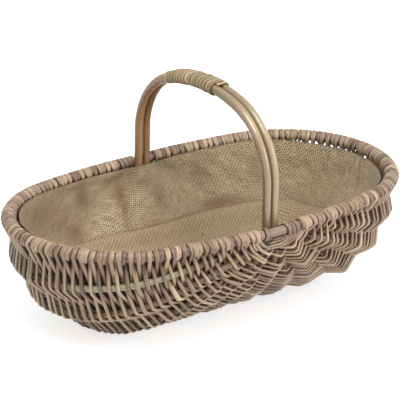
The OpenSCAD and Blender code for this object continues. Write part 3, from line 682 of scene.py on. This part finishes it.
lashing = {
    "thick": 3.0,
    "wide": 6.6,
    "pitch": 6.8,
    "leftInner": (19.5, 1.0),
    "leftTurns": (1.25, 4.0),
    "rightInner": 6.5,
    "rightTurns": 3.3,
    "room": 0.5,
    "bandTop": 11.0,
    "bandPitch": 4.4,
    "bandWide": 4.0,
    "tone": (0.42, 0.7),
}

footSticks = {
    "lefts": [15.0, 20.0, 25.0, 29.0],
    "rights": [12.0, 18.0, 24.0, 30.0],
    "depths": [9.5, 13.8, 18.1, 22.4],
    "tones": [0.2, 0.32, 0.44, 0.5],
    "thick": 4.6,
    "wide": 4.3,
    "knee": 4.0,
    "kneeSpread": 2.5,
    "tuck": 5.0,
    "tuckLength": 7.0,
    "tuckedBelow": 7.0,
    "forward": 1.0,
    "step": 1.5,
}


def collar(inner, turns):
    # Turns round the hoop, from beside the handle outwards
    a = np.radians(np.arange(0, 360 * turns + 1, 15))
    turn = a + 1.25 * pi
    way = np.stack([0 * a, np.cos(turn), np.sin(turn)], -1)
    centre = way * (weave["hoop"] / 2 + lashing["thick"] / 2 + lashing["room"])
    centre = centre + [0, -basket["rimHalfWidth"], basket["rimHeight"]]
    centre[:, 0] = inner + a / (2 * pi) * lashing["pitch"]
    return centre, way


def lashingPath(back):
    # Turns round the hoop left of the rods, a turn and a half round both rods, turns to their right
    left, leftOut = collar(lashing["leftInner"][back], lashing["leftTurns"][back])
    right, rightOut = collar(lashing["rightInner"], lashing["rightTurns"])
    f = np.linspace(0, 1.5, 40)
    bandRadius = handle["rod"] / 2 + lashing["thick"] / 2 + 0.4
    x, y, outX, outY = stadium(f % 1.0, 2 * rodOffset, bandRadius)
    height = basket["rimHeight"] - lashing["bandTop"] - f * lashing["bandPitch"]
    band = np.stack([x, -y - handle["halfSpan"], height], -1)
    bandOut = np.stack([outX, -outY, 0 * x], -1)
    flip = np.array([-1.0, 1.0, 1.0])
    path = np.concatenate([(left * flip)[::-1], band, right])
    out = keptFacing(np.concatenate([(leftOut * flip)[::-1], bandOut, rightOut]))
    path, out = alongPath(path, 1.2, out)
    path, out = relaxed(path, 1.5), relaxed(out, 1.5)
    return (path * [1, -1, 1], out * [1, -1, 1]) if back else (path, out)


for back, node in enumerate(["foot_lashing_front", "foot_lashing_back"]):
    path, out = lashingPath(back)
    ends = tapered(len(path), 1.2, 5.0, 0.35)
    onHoop = smoothStep((np.abs(path[:, 1]) - handle["halfSpan"] - 9) / 3)
    width = mix(lashing["bandWide"], lashing["wide"], onHoop) / 2
    tone = lashing["tone"][back] + 0.12 * wander(len(path), 1.2, 25.0, gripRandom)[:, 0]
    strand = rodMesh(f"willow_{node}", path, out, lashing["thick"] / 2 * ends, width * ends,
                     darkWillow, tone, 500.0 * back, sides=12, boxy=0.8)
    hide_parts(node)
print("lashings made")


def footStick(i, back, rng):
    # Level from a left end tucked in behind the ribs to a knee under the rods, then straight up to
    # the right collar, all on the surface that the ribs lie in
    left, right, depth = (footSticks[key][i] for key in ("lefts", "rights", "depths"))
    corners = np.array([[-left, -depth], [footSticks["knee"], -depth], [right, -footSticks["tuckedBelow"]]])
    flat = relaxed(alongPath(corners, footSticks["step"])[0], footSticks["kneeSpread"])
    x, z = flat.T
    tucked = footSticks["tuck"] * (1 - smoothStep((x + left) / footSticks["tuckLength"]))
    y = z ** 2 / (2 * sideRadius[bottomLine]) - basket["rimHalfWidth"] - footSticks["forward"] + tucked
    path = np.stack([x, y, z + basket["rimHeight"]], -1)
    out = np.stack([0 * x, -np.ones(len(x)), z / sideRadius[bottomLine]], -1)
    if back:
        path, out = path * [1, -1, 1], out * [1, -1, 1]
    path = path + 0.25 * wander(len(path), footSticks["step"], 18.0, rng, 3)
    ends = tapered(len(path), footSticks["step"], 5.0, 0.35)
    side = "back" if back else "front"
    return rodMesh(f"willow_foot_stick_{side}_{i + 1}", path, out, footSticks["thick"] / 2 * ends,
                   footSticks["wide"] / 2 * ends, steamedWillow, footSticks["tones"][i],
                   9000.0 + 90 * i + 45 * back)


for back in (False, True):
    for i in range(len(footSticks["depths"])):
        footStick(i, back, gripRandom)
print("foot sticks made")


# Part eight: the lining

lining = {
    "thick": 1.4,
    "setback": 14.0,
    "top": 0.5,
    "rightTop": 7.0,
    "rightTopStart": 180.0,
    "rightTopRun": 100.0,
    "seamDepth": 90.0,
    "baseDepth": 125.0,
    "foldDepth": 3.0,
    "folds": 8,
    "rodRoom": 19.0,
    "bayHalfWidth": 38.0,
    "bayDepth": 100.0,
    "bayFade": 40.0,
    "bayRise": 7.0,
    "bayFrontDrop": 9.0,
    "endFall": 0.9,
    "endCurve": 2.6,
    "thread": 2.7,
    "baseThread": 3.4,
    "baseTurn": 30.0,
    # Brown marks on the back wall, partly stains and partly painted shade: along, height, half width, half height,
    # strength, depth of the fold
    "stainAndShadeMarks": [
        # Brown in the folds and creases, partly stain and partly painted shade of the creases
        (-107, 126, 12, 16, 0.75, 1.5),
        (-43, 102, 6, 24, 0.9, 3.5),
        (-47, 122, 12, 12, 0.45, 0.0),
        (14, 108, 14, 20, 0.7, 1.5),
        (-131, 84, 18, 12, 0.55, 0.0),
        # Darker below the handle's far foot, and painted shadow under the rim along the cloth's top edge
        (-11, 133, 22, 8, 0.55, 0.0),
        (-95, 143, 60, 5, 0.5, 0.0),
        # Painted shade over the left part of the wall
        (-200, 120, 45, 30, 0.5, 0.0),
        (-150, 95, 50, 30, 0.25, 0.0),
        # Painted shadow just above the seam
        (118, 76, 46, 8, 0.8, 0.0),
        (20, 70, 60, 4, 0.25, 0.0),
        # Two more folds, browned partly by stain and partly by painted shade of the creases
        (100, 125, 16, 20, 0.3, 1.0),
        (190, 110, 18, 22, 0.3, 1.5),
    ],
    "endSeam": -11.0,
    "endSeamWidth": 1.6,
    "spot": (67.0, 88.0),
    "spotSize": 2.2,
}

wallColumns = 48
wallRows = np.array([0.0, 0.2, 0.45, 0.72, 1.0])


def shareAt(depth):
    # Share of the way along the bottom line at which it reaches a depth
    side, end, join, reach = sideRadius[bottomLine], endRadius[bottomLine], joinAngle[bottomLine], lineReach[bottomLine]
    onSide = side * np.arcsin(np.clip(depth / side, 0, 1)) / wholeLength[bottomLine]
    onEnd = 0.5 - end * np.arccos(np.clip((depth - reach + end) / end, -1, 1)) / wholeLength[bottomLine]
    return np.where(depth < side * math.cos(join), onSide, onEnd)


def insidePoint(share, side, depth, setback):
    # Point of the wall at a share of every line and a depth below the rim, set back to the inside
    j = np.arange(bottomLine + 1) if side == 0 else lastLine - np.arange(bottomLine + 1)
    p, t = lineAt(j, share * wholeLength[j])
    below = basket["rimHeight"] - p[:, 2]
    over = np.nonzero(below[:-1] < depth)[0]
    i = over[-1] if len(over) else 0
    f = np.clip((depth - below[i]) / (below[i + 1] - below[i]), 0, 1)
    at = mix(p[i], p[i + 1], f)
    n = np.cross(p[i + 1] - p[i], t[i])
    out = n if np.dot(n, at - [0, 0, basket["rimHeight"]]) > 0 else -n
    if abs(at[0]) < 1:
        out = out * [0, 1, 1]
    return at - setback * unit(out)


def topDepth(x):
    # Depth of the wall's upper edge: close under the rim, lower towards the right end
    return mix(lining["top"], lining["rightTop"], smoothStep((x - lining["rightTopStart"]) / lining["rightTopRun"]))


def wallPoint(c, v, inset):
    # Column c of the wall at share v of the way from its upper edge to the seam, with folds,
    # and bent in round the ends of the handle rods
    half = wallColumns // 2
    side = 0 if c % wallColumns < half else 1
    f = (c % half) / half
    along = f if side == 0 else 1 - f
    j = 0 if side == 0 else lastLine
    rim, _ = lineAt(j, along * wholeLength[j])
    z = mix(float(topDepth(rim[0])), lining["seamDepth"], v)
    start = float(shareAt(np.array(z)))
    share = mix(start, 1 - start, along)
    rim, _ = lineAt(j, share * wholeLength[j])
    rimDepth = basket["rimHeight"] - rim[2]
    fold = lining["foldDepth"] * (1 - math.cos(2 * pi * lining["folds"] * c / wallColumns)) / 2 * v
    p = insidePoint(share, side, z + rimDepth * (1 - v), lining["setback"] + inset + fold)
    inBay = math.exp(-(p[0] / lining["bayHalfWidth"]) ** 4)
    room = lining["rodRoom"] * inBay * float(np.clip((lining["bayDepth"] - z) / lining["bayFade"], 0, 1))
    rise = lining["bayRise"] if p[1] > 0 else -lining["bayFrontDrop"]
    return [p[0], p[1] - np.sign(p[1]) * room, p[2] + rise * inBay * (1 - v) ** 2]


def cubic(values, at, closed):
    # Catmull-Rom curve through rows of points, read at places counted in rows
    n = len(values)
    i = np.floor(at).astype(int)
    f = (at - i)[(slice(None),) + (None,) * (values.ndim - 1)]
    pick = (lambda k: values[k % n]) if closed else (lambda k: values[np.clip(k, 0, n - 1)])
    a, b, c, d = pick(i - 1), pick(i), pick(i + 1), pick(i + 2)
    return b + 0.5 * f * (c - a + f * (2 * a - 5 * b + 4 * c - d + f * (3 * (b - c) + d - a)))


def shell(name, outer, inner, tracks, closedRows, material):
    # Two skins of a grid, rows by columns round, joined along the first and last rows
    rows, columns = outer.shape[:2]
    side = rows * columns
    r, c = np.meshgrid(np.arange(rows - 1), np.arange(columns), indexing="ij")
    a, b = r * columns + c, r * columns + (c + 1) % columns
    faces = np.stack([a, a + columns, b + columns, b], -1).reshape(-1, 4)
    back = np.stack([a, b, b + columns, a + columns], -1).reshape(-1, 4) + side
    edges = []
    c = np.arange(columns)
    for row, turn in closedRows:
        a, b = row * columns + c, row * columns + (c + 1) % columns
        edge = np.stack([a, b, b + side, a + side], -1)
        edges.append(edge if turn else edge[:, ::-1])
    faces = np.concatenate([faces, back] + edges)
    points = np.concatenate([outer.reshape(-1, 3), inner.reshape(-1, 3)])
    # The outer skin is marked with 1, for the painted shade on the cloth's outer face
    doubled = {"outside": np.repeat([1.0, 0.0], side)}
    for key, values in tracks.items():
        rowsOnly = values.reshape((side,) + values.shape[2:])
        doubled[key] = np.concatenate([rowsOnly, rowsOnly])
    return meshFrom(name, points, faces.tolist(), doubled, material)


print("lining begun")
coarse = np.array([[wallPoint(c, v, 0) for c in range(wallColumns)] for v in wallRows])
fineColumns = 480
fineRows = 44
rowsAt = np.linspace(0, len(wallRows) - 1, fineRows + 1)
columnsAt = np.arange(fineColumns) * wallColumns / fineColumns
wall = cubic(cubic(coarse, rowsAt, False).transpose(1, 0, 2), columnsAt, True).transpose(1, 0, 2)


def gridNormals(grid):
    # Outward way at each point of a grid that is closed along its columns
    around = np.roll(grid, -1, 1) - np.roll(grid, 1, 1)
    down = np.gradient(grid, axis=0)
    return unit(np.cross(down, around))


def threadPlaces(grid):
    # Distance round and down the cloth in millimetres, for the threads
    around = np.linalg.norm(np.roll(grid, -1, 1) - grid, axis=-1)
    middle = around[len(grid) // 2]
    along = np.broadcast_to(np.cumsum(middle) - middle, grid.shape[:2])
    down = np.cumsum(np.linalg.norm(np.diff(grid, axis=0), axis=-1), 0)
    return along, np.concatenate([np.full((1, grid.shape[1]), 0.0), down])


normals = gridNormals(wall)
outwards = np.sign(np.sum(normals * (wall - [0, 0, basket["rimHeight"]]), -1).mean())
normals = normals * outwards
print("wall normals point", "out" if outwards > 0 else "in")
roundPlace, downPlace = threadPlaces(wall)
share = downPlace / downPlace[-1].mean()
clothRandom = np.random.default_rng(9)


def ripples(count, aroundLength, depthShare, rng, waves, height):
    # A sum of slow waves round the wall, each with its own slant and place
    total = np.zeros(aroundLength.shape)
    for _ in range(count):
        number = rng.integers(waves[0], waves[1])
        slant = rng.normal(0, 1.5)
        phase = rng.uniform(0, 2 * pi)
        total += rng.normal(0, 1) * np.sin(number * aroundLength + slant * depthShare + phase)
    return total / math.sqrt(count) * height


turn = 2 * pi * np.arange(fineColumns) / fineColumns + np.zeros((fineRows + 1, 1))
wave = ripples(9, turn, share * 2, clothRandom, (9, 40), 0.6) * (0.35 + 0.65 * np.sin(pi * np.clip(share, 0, 1)))


def stainAndShadeMarks(points):
    # Sum of soft spots on the back wall: how much stain and painted shade each place gets and how far its fold goes out
    brown, deep = np.zeros(points.shape[:2]), np.zeros(points.shape[:2])
    onBack = smoothStep((points[..., 1] - 20) / 20)
    for x, z, halfWidth, halfHeight, strength, depth in lining["stainAndShadeMarks"]:
        away = ((points[..., 0] - x) / halfWidth) ** 2 + ((points[..., 2] - z) / halfHeight) ** 2
        brown += strength * np.exp(-away) * onBack
        deep += depth * np.exp(-away) * onBack
    return brown, deep


wallStainAndShade, wallDeep = stainAndShadeMarks(wall)
wall = wall + normals * (wave + wallDeep)[..., None]
wallInner = wall - normals * lining["thick"]
print("lining wall worked out")


# Hessian: plain weave of coarse jute, dull khaki brown, with fat and thin threads and dark holes, browned by stains and
# by painted shade, and with its outer face painted dark brown as shade
def hessianMaterial(name, look):
    material, tree, shader, output = newMaterial(name)
    threads = addNode(tree, "ShaderNodeAttribute", {"attribute_name": "threads"}).outputs["Vector"]
    stainAndShade = addNode(tree, "ShaderNodeAttribute", {"attribute_name": "stainAndShade"}).outputs["Fac"]
    place = addNode(tree, "ShaderNodeSeparateXYZ", inputs={"Vector": threads})
    heights = []
    slubs = []
    for axis, other in (("X", "Y"), ("Y", "X")):
        stretch = (1 / look["slubWidth"], 1 / look["slubLength"], 1) if axis == "X" else (1 / look["slubLength"], 1 / look["slubWidth"], 1)
        spun = addNode(tree, "ShaderNodeMapping", inputs={"Vector": threads, "Scale": stretch})
        slub = addNode(tree, "ShaderNodeTexNoise", {"noise_dimensions": "2D"}, {"Vector": spun.outputs[0], "Scale": 1.0, "Detail": 2.0, "Roughness": 0.6})
        slubs.append(slub.outputs["Fac"])
        turned = addNode(tree, "ShaderNodeMath", {"operation": "MULTIPLY"}, {0: place.outputs[axis], 1: pi / look["thread"]})
        wobble = addNode(tree, "ShaderNodeMath", {"operation": "MULTIPLY_ADD"}, {0: slub.outputs["Fac"], 1: look["wobble"], 2: turned.outputs[0]})
        sine = addNode(tree, "ShaderNodeMath", {"operation": "SINE"}, {0: wobble.outputs[0]})
        ridge = addNode(tree, "ShaderNodeMath", {"operation": "ABSOLUTE"}, {0: sine.outputs[0]})
        heights.append(ridge.outputs[0])
    over = addNode(tree, "ShaderNodeTexChecker", inputs={"Vector": threads, "Scale": 1 / look["thread"]})
    top = addNode(tree, "ShaderNodeMix", {"data_type": "FLOAT"}, {"Factor": over.outputs["Fac"], 2: heights[0], 3: heights[1]})
    least = addNode(tree, "ShaderNodeMath", {"operation": "MINIMUM"}, {0: heights[0], 1: heights[1]})
    cloth = addNode(tree, "ShaderNodeMath", {"operation": "MULTIPLY_ADD"}, {0: least.outputs[0], 1: 0.6, 2: top.outputs[0]})
    uneven = addNode(tree, "ShaderNodeMath", {"operation": "ADD"}, {0: slubs[0], 1: slubs[1]})
    bright = addNode(tree, "ShaderNodeMath", {"operation": "MULTIPLY_ADD"}, {0: uneven.outputs[0], 1: look["uneven"], 2: -look["uneven"]})
    level = addNode(tree, "ShaderNodeMath", {"operation": "ADD"}, {0: bright.outputs[0], 1: look["level"]})
    value = addNode(tree, "ShaderNodeMath", {"operation": "MULTIPLY_ADD"}, {
        0: cloth.outputs[0], 1: look["contrast"], 2: level.outputs[0]})
    yarn = colourRamp(tree, value.outputs[0], look["yarn"])
    inside = addNode(tree, "ShaderNodeTexCoord").outputs["Object"]
    cloud = addNode(tree, "ShaderNodeTexNoise", inputs={
        "Vector": inside, "Scale": look["cloud"], "Detail": 3.0, "Roughness": 0.5})
    patchy = addNode(tree, "ShaderNodeMapRange", inputs={"Value": cloud.outputs["Fac"], "From Min": 0.5, "From Max": 0.72, "To Max": look["cloudShare"]})
    # The stain colour goes in where the cloud stains are and where the track holds stains and painted shade
    stainedAndShaded = addNode(tree, "ShaderNodeMath", {"operation": "ADD", "use_clamp": True}, {0: patchy.outputs[0], 1: stainAndShade})
    colour = addNode(tree, "ShaderNodeMix", {"data_type": "RGBA"}, {"Factor": stainedAndShaded.outputs[0], 6: yarn, 7: linear(look["stain"])})
    # Painted shade: the outer face, seen through the weave, is made dark brown
    outside = addNode(tree, "ShaderNodeAttribute", {"attribute_name": "outside"}).outputs["Fac"]
    dull = addNode(tree, "ShaderNodeMath", {"operation": "MULTIPLY"}, {0: outside, 1: look["outsideShare"]})
    both = addNode(tree, "ShaderNodeMix", {"data_type": "RGBA"}, {
        "Factor": dull.outputs[0], 6: colour.outputs[2], 7: linear(look["outside"])})
    bump = addNode(tree, "ShaderNodeBump", inputs={"Height": cloth.outputs[0], "Strength": 0.8, "Distance": 0.0009})
    tree.links.new(both.outputs[2], shader.inputs["Base Color"])
    tree.links.new(bump.outputs[0], shader.inputs["Normal"])
    shader.inputs["Roughness"].default_value = 0.9
    shader.inputs["Specular IOR Level"].default_value = 0.15
    shader.inputs["Sheen Weight"].default_value = 0.15
    shader.inputs["Sheen Roughness"].default_value = 0.6
    return material


hessianLook = {
    "thread": lining["thread"], "slubWidth": 2.7, "slubLength": 20.0,
    "yarn": [(0.0, "695940"), (0.25, "928060"), (0.5, "bdab88"), (0.75, "d3c29e"), (1.0, "e3d7b6")],
    # The stain colour browns both the stains and the painted shade
    "stain": "82674b", "cloud": 9.0, "cloudShare": 0.25, "contrast": 0.44, "level": 0.02, "wobble": 1.6,
    "uneven": 0.55,
    # The outer face's dark brown is painted shade
    "outside": "46362d", "outsideShare": 0.85,
}
hessian = hessianMaterial("hessian", hessianLook)
hessianFlat = hessianMaterial("hessianFlat", hessianLook | {
    "contrast": 0.18, "level": 0.2, "wobble": 0.6, "uneven": 0.2, "slubWidth": 1.8, "slubLength": 6.0})

threadTrack = np.stack([roundPlace, downPlace, 0 * downPlace], -1)
# Painted shadow just above the wall's lower seam, and a dark line down the seam at the right end
endSeam = np.exp(-((wall[..., 1] - lining["endSeam"]) / lining["endSeamWidth"]) ** 2) * (wall[..., 0] > 0)
seamShade = 0.5 * np.exp(-((downPlace[-1] - downPlace) / 3.0) ** 2) + 0.6 * endSeam
wallPiece = shell("hessian_lining_wall", wall, wallInner, {"threads": threadTrack, "stainAndShade": seamShade + wallStainAndShade},
                  [(0, False), (fineRows, True)], hessian)
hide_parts("lining_wall")


def bottomDepth(x, y):
    # Depth of the ribs below the rim at a place in plan, less towards the ends
    side, end, join, reach = sideRadius[bottomLine], endRadius[bottomLine], joinAngle[bottomLine], lineReach[bottomLine]
    onEnd = reach - end + np.sqrt(np.maximum(end ** 2 - y ** 2, 0))
    onSide = np.sqrt(np.maximum(side ** 2 - (np.abs(y) - basket["rimHalfWidth"] + side) ** 2, 0))
    middle = np.where(np.abs(y) < end * math.sin(join), onEnd, onSide)
    flat = basket["ribReaches"][3] * math.cos(math.radians(basket["ribAngles"][3]))
    fall = np.clip((np.abs(x) - flat) / (basket["rimHalfLength"] - flat), 0, 1)
    return middle * (1 - lining["endFall"] * fall ** lining["endCurve"])


baseRows = 60
# The base is sewn to the middle of the wall's thickness along its lower edge
edge = wall[-1] - normals[-1] * lining["thick"] / 2
shares = np.linspace(1, 0.004, baseRows)[:, None]
baseX, baseY = edge[:, 0] * shares, edge[:, 1] * shares
sag = mix(lining["seamDepth"], lining["baseDepth"], 1 - shares ** 4)
lies = np.maximum(bottomDepth(baseX, baseY) - lining["setback"], lining["seamDepth"] * 0.9)
baseZ = basket["rimHeight"] - np.minimum(sag, lies)
baseZ = mix(baseZ, edge[None, :, 2] + 0 * baseZ, smoothStep((shares - 0.84) / 0.16))
base = np.stack([baseX, baseY, baseZ], -1)
baseWave = ripples(8, turn[:1] + 0 * baseX, shares * 3 + 0 * baseX, clothRandom, (3, 14), 0.8)
base[..., 2] += (baseWave * np.sin(pi * shares) ** 0.5) * 1.0
# The base lies so flat to the eye that its threads are drawn coarser than they are, and on the bias
coarser = lining["thread"] / lining["baseThread"]
bias = math.radians(lining["baseTurn"])
alongBias = (base[..., 0] * math.cos(bias) + base[..., 1] * math.sin(bias)) * coarser
acrossBias = (base[..., 1] * math.cos(bias) - base[..., 0] * math.sin(bias)) * coarser
baseThreads = np.stack([alongBias, acrossBias, 0 * baseX], -1)
# Painted shadow along the base's sewn edge, and a small dark spot
spotAway = np.hypot(base[..., 0] - lining["spot"][0], base[..., 1] - lining["spot"][1])
baseShadeAndSpot = 0.35 * np.exp(-((1 - shares) * 150 / 4.0) ** 2) + 0.9 * np.exp(-(spotAway / lining["spotSize"]) ** 2)
basePiece = shell("hessian_lining_base", base, base + [0, 0, lining["thick"]], {"threads": baseThreads, "stainAndShade": baseShadeAndSpot},
                  [(0, False), (baseRows - 1, True)], hessianFlat)
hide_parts("lining_base")
print("lining made")


# Part nine: floor, light and camera

stage = {
    "floorColour": "f2f2f2",
    "floorWhite": 0.68,
    "roomLight": 0.5,
    "topPlace": (-0.6, -0.75, 2.3),
    "topSize": 1.0,
    "topPower": 44,
    "frontPlace": (1.5, -1.9, 0.9),
    "frontSize": 1.2,
    "frontPower": 25,
}


def seenByEye(tree):
    # 1 for camera, gloss and transmission rays, 0 for the rays that light the object
    path = addNode(tree, "ShaderNodeLightPath")
    eye = addNode(tree, "ShaderNodeMath", {"operation": "MAXIMUM"}, {
        0: path.outputs["Is Camera Ray"], 1: path.outputs["Is Glossy Ray"]})
    return addNode(tree, "ShaderNodeMath", {"operation": "MAXIMUM"}, {
        0: eye.outputs[0], 1: path.outputs["Is Transmission Ray"]}).outputs[0]


# Pale paper: matt and nearly white, with a white veil to the eye, so that only soft shadows show on it
paleFloor, tree, shader, output = newMaterial("paleFloor")
shader.inputs["Base Color"].default_value = linear(stage["floorColour"])
shader.inputs["Roughness"].default_value = 0.9
veil = addNode(tree, "ShaderNodeMath", {"operation": "MULTIPLY"}, {0: seenByEye(tree), 1: stage["floorWhite"]})
glow = addNode(tree, "ShaderNodeEmission", inputs={"Color": (1, 1, 1, 1), "Strength": veil.outputs[0]})
together = addNode(tree, "ShaderNodeAddShader", inputs={0: shader.outputs[0], 1: glow.outputs[0]})
tree.links.new(together.outputs[0], output.inputs["Surface"])
floorMesh = bpy.data.meshes.new("floor")
floorMesh.from_pydata([(-6, -6, 0), (6, -6, 0), (6, 6, 0), (-6, 6, 0)], [], [(0, 1, 2, 3)])
floorMesh.materials.append(paleFloor)
floor = bpy.data.objects.new("floor", floorMesh)
bpy.context.scene.collection.objects.link(floor)

world = bpy.data.worlds.new("paleRoom")
bpy.context.scene.world = world
world.use_nodes = True
tree = world.node_tree
tree.nodes.clear()
dim = addNode(tree, "ShaderNodeBackground", inputs={"Color": (1, 1, 1, 1), "Strength": stage["roomLight"]})
white = addNode(tree, "ShaderNodeBackground", inputs={"Color": (1, 1, 1, 1), "Strength": 1.0})
either = addNode(tree, "ShaderNodeMixShader", inputs={0: seenByEye(tree), 1: dim.outputs[0], 2: white.outputs[0]})
addNode(tree, "ShaderNodeOutputWorld", inputs={"Surface": either.outputs[0]})


def addLamp(name, place, size, power):
    # A square soft box at a place in metres, aimed at the middle of the basket
    lamp = bpy.data.lights.new(name, "AREA")
    lamp.size = size
    lamp.energy = power
    holder = bpy.data.objects.new(name, lamp)
    holder.location = place
    holder.rotation_euler = (Vector((0, 0, 0.12)) - Vector(place)).to_track_quat("-Z", "Y").to_euler()
    bpy.context.scene.collection.objects.link(holder)


addLamp("softBoxTop", stage["topPlace"], stage["topSize"], stage["topPower"])
addLamp("softBoxFront", stage["frontPlace"], stage["frontSize"], stage["frontPower"])

view = {
    "azimuth": 37.783,
    "elevation": 20.728,
    "roll": 1.003,
    "distance": 3.6805,
    "target": (-0.00073, 0.00057, 0.14304),
    "lens": 241.506,
    "shiftX": -0.00857,
    "shiftY": -0.00038,
}


def addCamera():
    # Back along the azimuth and elevation from the target, then rolled about the line of sight
    a, e, r = (math.radians(view[key]) for key in ("azimuth", "elevation", "roll"))
    back = Vector((-math.sin(a) * math.cos(e), -math.cos(a) * math.cos(e), math.sin(e)))
    right = Vector((math.cos(a), -math.sin(a), 0))
    up = Vector((math.sin(a) * math.sin(e), math.cos(a) * math.sin(e), math.cos(e)))
    rolledRight = right * math.cos(r) + up * math.sin(r)
    rolledUp = up * math.cos(r) - right * math.sin(r)
    camera = bpy.data.objects.new("camera", bpy.data.cameras.new("camera"))
    camera.data.lens = view["lens"]
    camera.data.sensor_width = 36.0
    camera.data.shift_x = view["shiftX"]
    camera.data.shift_y = view["shiftY"]
    camera.data.clip_end = 50.0
    turn = Matrix((rolledRight, rolledUp, back)).transposed().to_4x4()
    camera.matrix_world = Matrix.Translation(Vector(view["target"]) + back * view["distance"]) @ turn
    bpy.context.scene.collection.objects.link(camera)
    bpy.context.scene.camera = camera


addCamera()
bpy.context.scene.view_settings.view_transform = "Standard"
